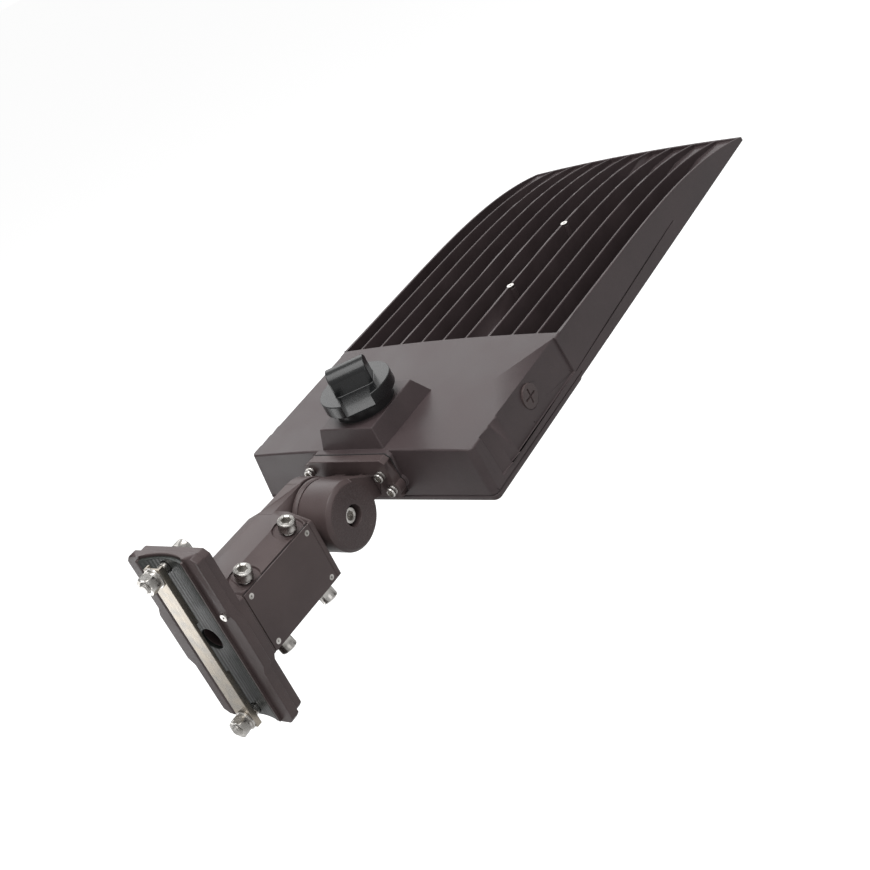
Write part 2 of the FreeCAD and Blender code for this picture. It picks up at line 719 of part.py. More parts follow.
def make_wiring_cover_gasket():
    sheet = cover_plate(COVER_FLOOR_Y - COVER_GASKET_THICKNESS, COVER_FLOOR_Y)
    cuts = [
        block(
            cover_centre_x() - COVER_WINDOW_HALF_LENGTH,
            cover_centre_x() + COVER_WINDOW_HALF_LENGTH,
            -ARM_HALF_WIDTH,
            0,
            -COVER_WINDOW_HALF_HEIGHT,
            COVER_WINDOW_HALF_HEIGHT,
        )
    ]
    for x, z in cover_screw_places():
        face = Vector(x, -ARM_HALF_WIDTH, z)
        cuts.append(rod(M3_RADIUS + FACE_GAP, face, face + ALONG_Y * M3_SCREW_LENGTH))
    return sheet.cut(cuts)


def make_wiring_cover_screws():
    screws = []
    for x, z in cover_screw_places():
        face = Vector(x, -ARM_HALF_WIDTH, z)
        screws.append(countersunk_screw(face, ALONG_Y, M3_RADIUS, M3_HEAD_RADIUS, M3_SCREW_LENGTH))
    return Part.makeCompound(screws)


def pivot_point(y):
    return Vector(PIVOT_X, y, PIVOT_Z)


def pivot_head_seat_y():
    return LAMP_OFFSET_Y + DISC_FACE_Y + COUNTERBORE_DEPTH - FACE_GAP


def make_pivot_bolt():
    return socket_bolt(
        pivot_point(pivot_head_seat_y() - PIVOT_WASHER_THICKNESS),
        ALONG_Y,
        M10_RADIUS,
        PIVOT_BOLT_LENGTH,
        M10_HEAD_RADIUS,
        M10_HEAD_HEIGHT,
        M10_SOCKET_FLATS,
        M10_SOCKET_DEPTH,
    )


def make_pivot_washers():
    inner = M10_RADIUS + FACE_GAP
    near_y = pivot_head_seat_y()
    near = ring(PIVOT_WASHER_RADIUS, inner, pivot_point(near_y - PIVOT_WASHER_THICKNESS), pivot_point(near_y))
    far = ring(
        PIVOT_WASHER_RADIUS,
        inner,
        pivot_point(EAR_THICKNESS),
        pivot_point(EAR_THICKNESS + PIVOT_WASHER_THICKNESS),
    )
    return Part.makeCompound([near, far])


def make_pivot_nut():
    start = pivot_point(EAR_THICKNESS + PIVOT_WASHER_THICKNESS)
    end = pivot_point(EAR_THICKNESS + PIVOT_WASHER_THICKNESS + M10_NUT_HEIGHT)
    return hex_prism(M10_NUT_FLATS, start, end).cut(rod(M10_RADIUS + RUNNING_FIT, start, end))


# ---- knuckle bracket, lamp frame --------------------------------------------------------------
def lamp_pivot(y):
    return Vector(PIVOT_LAMP_X, y, PIVOT_HEIGHT)


def flange_outline(x):
    half = FLANGE_HALF_WIDTH
    corner = FLANGE_CORNER
    points = [
        (-half, FLANGE_BOTTOM),
        (half, FLANGE_BOTTOM),
        (half, FLANGE_TOP - corner),
        (half - corner, FLANGE_TOP),
        (corner - half, FLANGE_TOP),
        (-half, FLANGE_TOP - corner),
    ]
    return [Vector(x, y, z) for y, z in points]


def flange_opening(x0, x1):
    half = FLANGE_OPENING_HALF_WIDTH
    points = [
        (-half, NECK_BOTTOM_AT_FLANGE + NECK_WEB / 2),
        (half + FLANGE_OPENING_SLANT, NECK_BOTTOM_AT_FLANGE + NECK_WEB / 2),
        (half, FLANGE_OPENING_TOP),
        (-half, FLANGE_OPENING_TOP),
    ]
    return prism([Vector(x0, y, z) for y, z in points], Vector(x1 - x0, 0, 0))


def make_knuckle_bracket():
    barrel_start = DISC_FACE_Y + BARREL_CHAMFER
    collar_y = BARREL_END_Y - COLLAR_LENGTH
    barrel = rod(BARREL_RADIUS, lamp_pivot(barrel_start), lamp_pivot(collar_y))
    face_radius = BARREL_RADIUS - BARREL_CHAMFER
    rim = cone(face_radius, BARREL_RADIUS, lamp_pivot(DISC_FACE_Y), lamp_pivot(barrel_start))
    slope_end = collar_y + 2 * (COLLAR_RADIUS - BARREL_RADIUS)
    collar = cone(BARREL_RADIUS, COLLAR_RADIUS, lamp_pivot(collar_y), lamp_pivot(slope_end))
    collar = collar.fuse(rod(COLLAR_RADIUS, lamp_pivot(slope_end), lamp_pivot(BARREL_END_Y)))
    groove = ring(
        2 * BARREL_RADIUS,
        BARREL_RADIUS - COLLAR_GROOVE,
        lamp_pivot(collar_y - COLLAR_GROOVE),
        lamp_pivot(collar_y),
    )
    flange = prism(flange_outline(FLANGE_FACE_X), Vector(FLANGE_THICKNESS, 0, 0))
    lugs = [
        rod(LUG_RADIUS, Vector(FLANGE_FACE_X, y, z), Vector(FLANGE_FRONT_X, y, z)) for y, z in BRACKET_BOLTS
    ]
    angle = math.radians(NECK_TANGENT_ANGLE)
    tangent = Vector(
        PIVOT_LAMP_X + BARREL_RADIUS * math.cos(angle), 0, PIVOT_HEIGHT + BARREL_RADIUS * math.sin(angle)
    )
    neck_profile = [
        Vector(tangent.x, DISC_FACE_Y, tangent.z),
        Vector(FLANGE_FRONT_X, DISC_FACE_Y, NECK_TOP_AT_FLANGE),
        Vector(FLANGE_FRONT_X, DISC_FACE_Y, NECK_BOTTOM_AT_FLANGE),
        Vector(PIVOT_LAMP_X + COUNTERBORE_RADIUS, DISC_FACE_Y, PIVOT_HEIGHT),
    ]
    neck = prism(neck_profile, Vector(0, NECK_FAR_Y - DISC_FACE_Y, 0))
    opening = flange_opening(FLANGE_FACE_X, FLANGE_FRONT_X)
    flange = joined([flange] + lugs).cut(opening)
    between = block(
        PIVOT_LAMP_X + BARREL_RADIUS + NECK_POCKET_GAP,
        FLANGE_FRONT_X,
        DISC_FACE_Y + NECK_WEB,
        NECK_FAR_Y - NECK_WEB,
        NECK_BOTTOM_AT_FLANGE + NECK_WEB / 2,
        FLANGE_TOP,
    )
    neck = neck.cut(between)
    body = joined([barrel.cut(groove), rim, collar, flange, neck])
    teeth = tooth_ring(BARREL_END_Y, 1, (PIVOT_LAMP_X, PIVOT_HEIGHT), 180.0 / TOOTH_COUNT + TILT_AT_REST)
    body = body.multiFuse(teeth)
    cuts = [
        rod(COUNTERBORE_RADIUS, lamp_pivot(DISC_FACE_Y), lamp_pivot(DISC_FACE_Y + COUNTERBORE_DEPTH)),
        rod(M10_RADIUS + RUNNING_FIT, lamp_pivot(DISC_FACE_Y), lamp_pivot(EAR_FACE_Y)),
    ]
    for y, z in BRACKET_BOLTS:
        cuts.append(rod(M6_RADIUS + FACE_GAP, Vector(FLANGE_FACE_X, y, z), Vector(FLANGE_FRONT_X, y, z)))
    return body.cut(cuts)


def make_bracket_gasket():
    sheet = prism(flange_outline(FLANGE_FRONT_X), Vector(FLANGE_GASKET_THICKNESS, 0, 0))
    cuts = [flange_opening(FLANGE_FRONT_X, FLANGE_BACK_X)]
    for y, z in BRACKET_BOLTS:
        cuts.append(rod(M6_RADIUS + FACE_GAP, Vector(FLANGE_FRONT_X, y, z), Vector(FLANGE_BACK_X, y, z)))
    return sheet.cut(cuts)


def make_bracket_bolts():
    bolts = []
    grip = FLANGE_THICKNESS + FLANGE_GASKET_THICKNESS + M6_GRIP - PAD_STAND
    for y, z in BRACKET_BOLTS:
        bolts.append(
            socket_bolt(
                Vector(FLANGE_FACE_X, y, z),
                Vector(1, 0, 0),
                M6_RADIUS,
                grip,
                M6_HEAD_RADIUS,
                M6_HEAD_HEIGHT,
                M6_SOCKET_FLATS,
                M6_SOCKET_DEPTH,
            )
        )
    return Part.makeCompound(bolts)


# ---- lamp casting, lamp frame -----------------------------------------------------------------
def fin_top(x):
    """Height of the fins' top edge at the centre plane."""
    bend = max(0.0, x - FIN_CURVE_START)
    return DECK_AT_FRONT - FIN_SLOPE * x - FIN_CURVE * bend ** 3


def crowned(top, y):
    return top - CROWN * (y / CROWN_SPAN) ** 2


def cross_section(x, top):
    """Outline across the lamp: flat below, leaning sides, crowned top."""
    edge_y = BASE_HALF_WIDTH - SIDE_DRAFT * crowned(top, BASE_HALF_WIDTH)
    edge_z = crowned(top, edge_y)
    left = Vector(x, -BASE_HALF_WIDTH, 0)
    right = Vector(x, BASE_HALF_WIDTH, 0)
    left_top = Vector(x, -edge_y, edge_z)
    right_top = Vector(x, edge_y, edge_z)
    crown = Part.Arc(right_top, Vector(x, 0, top), left_top).toShape()
    edges = [
        Part.makeLine(left, right),
        Part.makeLine(right, right_top),
        crown,
        Part.makeLine(left_top, left),
    ]
    return Part.Wire(edges)


def deck_height(x):
    return DECK_AT_FRONT - DECK_SLOPE * x


def make_box_block():
    """Solid block of the driver box with its leaning rear face and rounded edges."""
    rear_x = REAR_TOP_X - 2 * REAR_LEAN
    sections = [cross_section(rear_x, deck_height(rear_x)), cross_section(0, deck_height(0))]
    body = Part.makeLoft(sections, True, True)
    top = deck_height(REAR_TOP_X)
    lean = REAR_LEAN / top
    over = 2 * top
    behind = [
        Vector(rear_x - over, -2 * BASE_HALF_WIDTH, -over),
        Vector(REAR_TOP_X - lean * (top + over), -2 * BASE_HALF_WIDTH, -over),
        Vector(REAR_TOP_X + lean * (over - top), -2 * BASE_HALF_WIDTH, over),
        Vector(rear_x - over, -2 * BASE_HALF_WIDTH, over),
    ]
    body = body.cut(prism(behind, Vector(0, 4 * BASE_HALF_WIDTH, 0)))
    corners = [edge for edge in body.Edges if is_rear_corner(edge)]
    body = body.makeFillet(REAR_CORNER_RADIUS, corners)
    rims = [edge for edge in body.Edges if is_deck_rim(edge)]
    return body.makeFillet(CASTING_FILLET, rims)


def is_rear_corner(edge):
    box = edge.BoundBox
    return box.XMax < REAR_TOP_X + REAR_LEAN and box.ZLength > DECK_AT_FRONT / 2


def is_deck_rim(edge):
    box = edge.BoundBox
    rises = box.ZLength > DECK_AT_FRONT / 2
    at_front = abs(box.XMax) + box.XLength < NEAR
    return box.ZMin > DECK_AT_FRONT / 2 and not rises and not at_front


def make_fin_block():
    stations = [0.0, FIN_CURVE_START / 2, FIN_CURVE_START] + FIN_STATIONS + [TIP_X]
    sections = [cross_section(x, fin_top(x)) for x in stations]
    return Part.makeLoft(sections, True, False)


def channel_cutters():
    """The gaps between neighbouring fins and beside the side walls."""
    profile = [(0, FIN_FLOOR), (FLOOR_DROP_START, FIN_FLOOR), (FLOOR_DROP_END, FLOOR_AT_TIP)]
    high = 2 * DECK_AT_FRONT
    profile = profile + [(FLOOR_DROP_END, high), (0, high)]
    outer_fin = FIN_PITCH * (FIN_COUNT - 1) / 2
    cutters = []
    for index in range(FIN_COUNT - 1):
        start = -outer_fin + index * FIN_PITCH + FIN_THICKNESS / 2
        width = FIN_PITCH - FIN_THICKNESS
        cutters.append(prism([Vector(x, start, z) for x, z in profile], Vector(0, width, 0)))
    inner_low = BASE_HALF_WIDTH - SIDE_WALL
    inner_high = inner_low - SIDE_DRAFT * high
    start = outer_fin + FIN_THICKNESS / 2
    side = prism([Vector(x, start, z) for x, z in profile], Vector(0, BASE_HALF_WIDTH, 0))
    keep = [Vector(0, start, 0), Vector(0, inner_low, 0), Vector(0, inner_high, high), Vector(0, start, high)]
    side = side.common(prism(keep, Vector(TIP_X, 0, 0)))
    cutters.append(side)
    cutters.append(mirrored_y(side))
    return cutters


def recess_section(x, depth):
    """Room outside the leaning side wall, this deep, from the foot band up past the deck."""
    z0 = PANEL_BOTTOM
    z1 = 2 * DECK_AT_FRONT
    low = BASE_HALF_WIDTH - SIDE_DRAFT * z0 - depth
    high = BASE_HALF_WIDTH - SIDE_DRAFT * z1 - depth
    out = BASE_HALF_WIDTH + PANEL_DEPTH
    corners = [Vector(x, low, z0), Vector(x, out, z0), Vector(x, out, z1), Vector(x, high, z1)]
    return Part.makePolygon(corners + corners[:1])


def side_panel_cutters():
    """Level recess along the side, then a slope from the crest of each rib down to the next one."""
    spans = [(PANEL_FRONT_X, PANEL_DEPTH, RIB_PLACES[0])]
    for index in range(len(RIB_PLACES) - 1):
        spans.append((RIB_PLACES[index], 0, RIB_PLACES[index + 1]))
    cutters = []
    for front_x, front_depth, rear_x in spans:
        sections = [recess_section(front_x, front_depth), recess_section(rear_x, PANEL_DEPTH)]
        cutter = Part.makeLoft(sections, True, True)
        cutters = cutters + [cutter, mirrored_y(cutter)]
    return cutters


def foot_groove_cutter():
    """Groove round the rear and the sides of the driver box, just above its foot."""
    z0 = FOOT_GROOVE_BOTTOM
    z1 = z0 + FOOT_GROOVE_HEIGHT
    middle = (z0 + z1) / 2
    lean = REAR_LEAN / deck_height(REAR_TOP_X)
    rear = REAR_TOP_X - REAR_LEAN + lean * middle + FOOT_GROOVE_DEPTH
    half = BASE_HALF_WIDTH - SIDE_DRAFT * middle - FOOT_GROOVE_DEPTH
    core = rounded_rectangle_prism(rear, -rear, half, z0, z1, REAR_CORNER_RADIUS)
    return block(2 * rear, 0, -2 * half, 2 * half, z0, z1).cut(core)


def side_groove_cutters():
    """Fine line along the side of the finned part."""
    x0, z0 = GROOVE_START
    x1, z1 = GROOVE_END
    half = GROOVE_WIDTH / 2
    line = [
        Vector(x0, 0, z0 - half),
        Vector(x1, 0, z1 - half),
        Vector(x1, 0, z1 + half),
        Vector(x0, 0, z0 + half),
    ]
    band = prism(line, Vector(0, BASE_HALF_WIDTH, 0))
    inner = BASE_HALF_WIDTH - GROOVE_DEPTH
    core = [
        Vector(x0, 0, 0),
        Vector(x0, inner, 0),
        Vector(x0, inner - SIDE_DRAFT * DECK_AT_FRONT, DECK_AT_FRONT),
        Vector(x0, 0, DECK_AT_FRONT),
    ]
    groove = band.cut(prism(core, Vector(x1 - x0, 0, 0)))
    return [groove, mirrored_y(groove)]


def make_boss_block():
    base_z = DECK_AT_FRONT - CROWN
    base_rear_x = REAR_TOP_X
    base = [
        Vector(base_rear_x, -BOSS_BASE_HALF_WIDTH, base_z),
        Vector(BOSS_BASE_FRONT_X, -BOSS_BASE_HALF_WIDTH, base_z),
        Vector(BOSS_BASE_FRONT_X, BOSS_BASE_HALF_WIDTH, base_z),
        Vector(base_rear_x, BOSS_BASE_HALF_WIDTH, base_z),
    ]
    top = [
        Vector(BOSS_TOP_REAR_X, -BOSS_TOP_HALF_WIDTH, BOSS_TOP),
        Vector(BOSS_TOP_FRONT_X, -BOSS_TOP_HALF_WIDTH, BOSS_TOP),
        Vector(BOSS_TOP_FRONT_X, BOSS_TOP_HALF_WIDTH, BOSS_TOP),
        Vector(BOSS_TOP_REAR_X, BOSS_TOP_HALF_WIDTH, BOSS_TOP),
    ]
    body = Part.makeLoft([Part.makePolygon(base + base[:1]), Part.makePolygon(top + top[:1])], True, True)
    rims = [edge for edge in body.Edges if edge.BoundBox.ZMax > BOSS_TOP - NEAR]
    return body.makeFillet(BOSS_FILLET, rims)


def make_rear_pad():
    outline = [Vector(FLANGE_BACK_X, p.y, p.z) for p in flange_outline(0)]
    pad = prism(outline, Vector(PAD_STAND + REAR_LEAN, 0, 0))
    lugs = []
    for y, z in BRACKET_BOLTS:
        lugs.append(rod(LUG_RADIUS, Vector(FLANGE_BACK_X, y, z), Vector(REAR_TOP_X + REAR_LEAN, y, z)))
    return [pad] + lugs


def fin_boss_top(x):
    return crowned(fin_top(x), FIN_SCREW_Y) - FIN_SCREW_DROP


def door_screw_places():
    half = DOOR_HALF_WIDTH - DOOR_SCREW_EDGE_INSET
    rear = DOOR_REAR_X + DOOR_SCREW_END_INSET
    front = -FACE_GAP - DOOR_SCREW_END_INSET
    return [(x, y) for x in (rear, (rear + front) / 2, front) for y in (-half, half)]


def make_housing():
    body = joined([make_box_block(), make_fin_block(), make_boss_block()] + make_rear_pad())
    bosses = []
    for x in FIN_SCREW_PLACES:
        foot = Vector(x, FIN_SCREW_Y, LED_CAVITY_DEPTH)
        bosses.append(rod(FIN_BOSS_RADIUS, foot, Vector(x, FIN_SCREW_Y, fin_boss_top(x))))
    body = body.cut(channel_cutters())
    body = body.multiFuse(bosses)
    cuts = side_panel_cutters() + side_groove_cutters() + [foot_groove_cutter()]
    cuts.append(
        block(
            BOX_INNER_REAR_X,
            BOX_INNER_FRONT_X,
            -compartment_half_width(),
            compartment_half_width(),
            0,
            compartment_roof(),
        )
    )
    cuts.append(
        block(
            LED_CAVITY_START,
            LED_CAVITY_END,
            -LED_CAVITY_HALF_WIDTH,
            LED_CAVITY_HALF_WIDTH,
            0,
            LED_CAVITY_DEPTH,
        )
    )
    cuts.append(rod(SOCKET_BODY_RADIUS + RUNNING_FIT, Vector(SOCKET_X, 0, 0), Vector(SOCKET_X, 0, CAP_TOP)))
    cuts.append(
        rod(RETAINER_RADIUS + HOLE_PLAY, Vector(SOCKET_X, 0, 0), Vector(SOCKET_X, 0, BOSS_TOP - 2 * BOX_ROOF))
    )
    cuts.append(
        rod(
            PLUG_RADIUS + SCREW_PLAY,
            Vector(PLUG_X, -2 * BASE_HALF_WIDTH, PLUG_Z),
            Vector(PLUG_X, -BOX_INNER_HALF_WIDTH / 2, PLUG_Z),
        )
    )
    cuts.append(
        rod(
            PLUG_HEAD_RADIUS + POCKET_PLAY,
            Vector(PLUG_X, -2 * BASE_HALF_WIDTH, PLUG_Z),
            Vector(PLUG_X, plug_seat_y(), PLUG_Z),
        )
    )
    cuts.append(
        rod(WIRE_HOLE_RADIUS, Vector(FLANGE_BACK_X, 0, WIRE_HOLE_Z), Vector(BOX_INNER_REAR_X, 0, WIRE_HOLE_Z))
    )
    cuts.append(
        rod(
            LED_WIRE_HOLE_RADIUS,
            Vector(BOX_INNER_FRONT_X, 0, LED_WIRE_HOLE_Z),
            Vector(LED_CAVITY_START, 0, LED_WIRE_HOLE_Z),
        )
    )
    for y, z in BRACKET_BOLTS:
        start = Vector(FLANGE_BACK_X, y, z)
        cuts.append(rod(M6_RADIUS + SCREW_PLAY, start, start + Vector(M6_GRIP, 0, 0)))
    for x, y in door_screw_places():
        cuts.append(rod(M4_RADIUS + SCREW_PLAY, Vector(x, y, 0), Vector(x, y, DOOR_SCREW_LENGTH)))
    for x, y in bezel_screw_places():
        cuts.append(rod(M4_RADIUS + SCREW_PLAY, Vector(x, y, 0), Vector(x, y, M4_SCREW_LENGTH)))
    for x in FIN_SCREW_PLACES:
        top = Vector(x, FIN_SCREW_Y, fin_boss_top(x))
        cuts.append(rod(M4_RADIUS + SCREW_PLAY, top - Vector(0, 0, M4_SCREW_LENGTH), top))
        cuts.append(rod(FIN_BOSS_RADIUS, top, top + Vector(0, 0, 2 * M4_HEAD_HEIGHT)))
    return body.cut(cuts)


def plug_seat_y():
    return SIDE_DRAFT * PLUG_Z + PANEL_DEPTH - BASE_HALF_WIDTH + PLUG_HEAD_HEIGHT / 2


def make_side_plug():
    seat = Vector(PLUG_X, plug_seat_y(), PLUG_Z)
    out = Vector(0, -1, 0)
    head = rod(PLUG_HEAD_RADIUS, seat, seat + out * PLUG_HEAD_HEIGHT)
    shank = rod(PLUG_RADIUS, seat - out * PLUG_LENGTH, seat)
    groove = ring(PLUG_RADIUS, PLUG_RADIUS - O_RING_SECTION, seat - out * (O_RING_SECTION + FACE_GAP), seat)
    face_y = seat.y - PLUG_HEAD_HEIGHT
    floor_y = face_y + PLUG_SLOT_DEPTH
    half = PLUG_SLOT_WIDTH / 2
    reach = PLUG_SLOT_HALF_LENGTH
    slots = [
        block(PLUG_X - reach, PLUG_X + reach, face_y, floor_y, PLUG_Z - half, PLUG_Z + half),
        block(PLUG_X - half, PLUG_X + half, face_y, floor_y, PLUG_Z - reach, PLUG_Z + reach),
    ]
    return head.fuse(shank).cut([groove] + slots)


def make_plug_o_ring():
    seat = Vector(PLUG_X, plug_seat_y(), PLUG_Z)
    inward = Vector(0, 1, 0)
    return ring(PLUG_RADIUS - POCKET_PLAY, PLUG_RADIUS - O_RING_SECTION, seat, seat + inward * O_RING_SECTION)


def make_fin_screws():
    screws = []
    for x in FIN_SCREW_PLACES:
        seat = Vector(x, FIN_SCREW_Y, fin_boss_top(x))
        screws.append(
            pan_screw(seat, Vector(0, 0, -1), M4_RADIUS, M4_SCREW_LENGTH, M4_HEAD_RADIUS, M4_HEAD_HEIGHT)
        )
    return Part.makeCompound(screws)


def make_wire_grommet():
    start = Vector(FLANGE_BACK_X, 0, WIRE_HOLE_Z)
    end = Vector(BOX_INNER_REAR_X, 0, WIRE_HOLE_Z)
    lip = end + Vector(BOARD_THICKNESS, 0, 0)
    body = rod(WIRE_HOLE_RADIUS, start, end).fuse(rod(WIRE_HOLE_RADIUS + SEAL_WIDTH / 2, end, lip))
    return body.cut(rod(WIRE_HOLE_RADIUS - SEAL_WIDTH / 2, start, lip))


# ---- driver compartment -------------------------------------------------------------------------
def rounded_rectangle_prism(x0, x1, half_width, z0, z1, radius):
    body = block(x0, x1, -half_width, half_width, z0, z1)
    uprights = [edge for edge in body.Edges if edge.BoundBox.ZLength > (z1 - z0) / 2]
    return body.makeFillet(radius, uprights)


def compartment_half_width():
    return BOX_INNER_HALF_WIDTH - SIDE_DRAFT * compartment_roof()


def compartment_roof():
    return DECK_AT_FRONT - CROWN - BOX_ROOF


def seal_ring(play, z0, z1):
    """Rectangular ring on the rim of the driver compartment."""
    middle = SEAL_WIDTH / 2
    rear = BOX_INNER_REAR_X - SEAL_MARGIN - middle
    front = (BOX_INNER_FRONT_X - FACE_GAP) / 2
    half = compartment_half_width() + SEAL_MARGIN + middle
    grow = middle + play
    outer = block(rear - grow, front + grow, -half - grow, half + grow, z0, z1)
    inner = block(rear + grow, front - grow, grow - half, half - grow, z0, z1)
    return outer.cut(inner)


def make_driver_door():
    plate = rounded_rectangle_prism(
        DOOR_REAR_X, -FACE_GAP, DOOR_HALF_WIDTH, -DOOR_THICKNESS, 0, REAR_CORNER_RADIUS - DOOR_INSET
    )
    cuts = [seal_ring(POCKET_PLAY, -SEAL_DEPTH, 0)]
    for x, y in door_screw_places():
        face = Vector(x, y, -DOOR_THICKNESS)
        cuts.append(countersink(face, Vector(0, 0, 1), M4_RADIUS, M4_HEAD_RADIUS, DOOR_SCREW_LENGTH))
    for x, y in inner_screw_places():
        cuts.append(rod(M4_RADIUS + SCREW_PLAY, Vector(x, y, -DOOR_THICKNESS), Vector(x, y, 0)))
    return plate.cut(cuts)


def make_door_seal():
    return seal_ring(0, -SEAL_DEPTH, 0)


def make_door_screws():
    screws = []
    for x, y in door_screw_places():
        face = Vector(x, y, -DOOR_THICKNESS)
        screws.append(countersunk_screw(face, Vector(0, 0, 1), M4_RADIUS, M4_HEAD_RADIUS, DOOR_SCREW_LENGTH))
    return Part.makeCompound(screws)


def tab_screw_places(centre, size):
    half = size[0] / 2 + DRIVER_TAB / 2
    return [(centre[0] - half, centre[1]), (centre[0] + half, centre[1])]


def inner_screw_places():
    """Screws that hold the driver, the surge protector and the terminal block to the door."""
    return (
        tab_screw_places(DRIVER_CENTRE, DRIVER_SIZE)
        + tab_screw_places(SURGE_CENTRE, SURGE_SIZE)
        + tab_screw_places(TERMINAL_CENTRE, TERMINAL_SIZE)
    )


def tabbed_box(centre, size):
    """Box on the door with a screw tab at each end."""
    x, y = centre
    half_x = size[0] / 2
    half_y = size[1] / 2
    body = block(x - half_x, x + half_x, y - half_y, y + half_y, 0, size[2])
    rims = [edge for edge in body.Edges if edge.BoundBox.ZMin > size[2] / 2]
    body = body.makeFillet(CASTING_FILLET, rims)
    tab = DRIVER_TAB
    tabs = block(x - half_x - tab, x + half_x + tab, y - tab, y + tab, 0, DRIVER_TAB_THICKNESS)
    body = body.fuse(tabs).removeSplitter()
    holes = []
    for hole_x, hole_y in tab_screw_places(centre, size):
        holes.append(
            rod(M4_RADIUS + FACE_GAP, Vector(hole_x, hole_y, 0), Vector(hole_x, hole_y, DRIVER_TAB_THICKNESS))
        )
    return body.cut(holes)


def make_terminal_block():
    body = tabbed_box(TERMINAL_CENTRE, TERMINAL_SIZE)
    x, y = TERMINAL_CENTRE
    pitch = TERMINAL_SIZE[1] / TERMINAL_WAYS
    feeds = []
    for index in range(TERMINAL_WAYS):
        inner = Vector(x, y + (index - (TERMINAL_WAYS - 1) / 2) * pitch, TERMINAL_SIZE[2] / 2)
        feeds.append(rod(TERMINAL_FEED_RADIUS, inner - Vector(TERMINAL_SIZE[0] / 2, 0, 0), inner))
    return body.cut(feeds)


def make_inner_screws():
    screws = []
    for x, y in inner_screw_places():
        seat = Vector(x, y, DRIVER_TAB_THICKNESS)
        length = DRIVER_TAB_THICKNESS + DOOR_THICKNESS
        screws.append(pan_screw(seat, Vector(0, 0, -1), M4_RADIUS, length, M4_HEAD_RADIUS, M4_HEAD_HEIGHT))
    return Part.makeCompound(screws)


# ---- light side -----------------------------------------------------------------------------------
def board_span():
    """Length and width of one of the two LED boards."""
    length = (LED_CAVITY_END - LED_CAVITY_START - 2 * BOARD_MARGIN - BOARD_GAP) / 2
    width = 2 * (LED_CAVITY_HALF_WIDTH - BOARD_MARGIN)
    return length, width


def board_start(index):
    length, _ = board_span()
    return LED_CAVITY_START + BOARD_MARGIN + index * (length + BOARD_GAP)


def led_places(index):
    length, width = board_span()
    places = []
    for row in range(LED_ROWS):
        for column in range(LED_COLUMNS):
            x = board_start(index) + length * (row + 0.5) / LED_ROWS
            y = -width / 2 + width * (column + 0.5) / LED_COLUMNS
            places.append((x, y))
    return places


def board_bottom():
    return LED_CAVITY_DEPTH - BOARD_THICKNESS


def make_led_board(index):
    length, width = board_span()
    x = board_start(index)
    return block(x, x + length, -width / 2, width / 2, board_bottom(), LED_CAVITY_DEPTH)


def make_led_chips():
    half = CHIP_SIZE / 2
    top = board_bottom()
    chips = []
    for index in range(2):
        for x, y in led_places(index):
            chips.append(block(x - half, x + half, y - half, y + half, top - CHIP_HEIGHT, top))
    return Part.makeCompound(chips)


def lens_top():
    return board_bottom() - LENS_STANDOFF


def make_lens_plate(index):
    """Clear plate with one shallow dome below each light-emitting diode."""
    length, width = board_span()
    x = board_start(index)
    top = lens_top()
    bottom = top - LENS_PLATE_THICKNESS
    plate = block(x, x + length, -width / 2, width / 2, bottom, top)
    ball_radius = (LENS_DOME_RADIUS ** 2 + LENS_DOME_HEIGHT ** 2) / (2 * LENS_DOME_HEIGHT)
    domes = []
    for dome_x, dome_y in led_places(index):
        centre = Vector(dome_x, dome_y, bottom - LENS_DOME_HEIGHT + ball_radius)
        ball = Part.makeSphere(ball_radius, centre)
        slab = block(
            dome_x - ball_radius,
            dome_x + ball_radius,
            dome_y - ball_radius,
            dome_y + ball_radius,
            bottom - LENS_DOME_HEIGHT,
            bottom + LENS_PLATE_THICKNESS / 2,
        )
        domes.append(ball.common(slab))
    return plate.multiFuse(domes)


def bezel_outline():
    grow = BEZEL_BORDER - BEZEL_OVERLAP
    return LED_CAVITY_START - grow, LED_CAVITY_END + grow, LED_CAVITY_HALF_WIDTH + grow


def bezel_screw_places():
    x0, x1, half = bezel_outline()
    inset = (BEZEL_BORDER - BEZEL_OVERLAP) / 2
    places = []
    for index in range(BEZEL_SCREW_COUNT):
        x = x0 + inset * 3 + (x1 - x0 - inset * 6) * index / (BEZEL_SCREW_COUNT - 1)
        places = places + [(x, half - inset), (x, inset - half)]
    return places


def make_lens_bezel():
    """Pressed frame that holds both lens plates up in the casting."""
    x0, x1, half = bezel_outline()
    frame = block(x0, x1, -half, half, -BEZEL_THICKNESS, 0)
    cuts = []
    length, width = board_span()
    for index in range(2):
        x = board_start(index) + BEZEL_OVERLAP / 2
        inner = width / 2 - BEZEL_OVERLAP / 2
        cuts.append(block(x, x + length - BEZEL_OVERLAP, -inner, inner, -BEZEL_THICKNESS, 0))
    for x, y in bezel_screw_places():
        face = Vector(x, y, -BEZEL_THICKNESS)
        cuts.append(countersink(face, Vector(0, 0, 1), M4_RADIUS, M4_HEAD_RADIUS, M4_SCREW_LENGTH))
    return frame.cut(cuts)


def make_lens_gasket():
    """Rubber ring between the bezel and the lens plates."""
    length, width = board_span()
    x0 = board_start(0)
    x1 = board_start(1) + length
    half = width / 2
    step = LENS_GASKET_WIDTH - BEZEL_OVERLAP / 4
    top = lens_top() - LENS_PLATE_THICKNESS
    ring_body = block(x0, x1, -half, half, 0, top)
    hole = block(x0 + step, x1 - step, step - half, half - step, 0, top)
    return ring_body.cut(hole)


def make_bezel_screws():
    screws = []
    for x, y in bezel_screw_places():
        face = Vector(x, y, -BEZEL_THICKNESS)
        screws.append(countersunk_screw(face, Vector(0, 0, 1), M4_RADIUS, M4_HEAD_RADIUS, M4_SCREW_LENGTH))
    return Part.makeCompound(screws)


# ---- photocontrol socket and cap --------------------------------------------------------------------
def socket_axis(z):
    return Vector(SOCKET_X, 0, z)


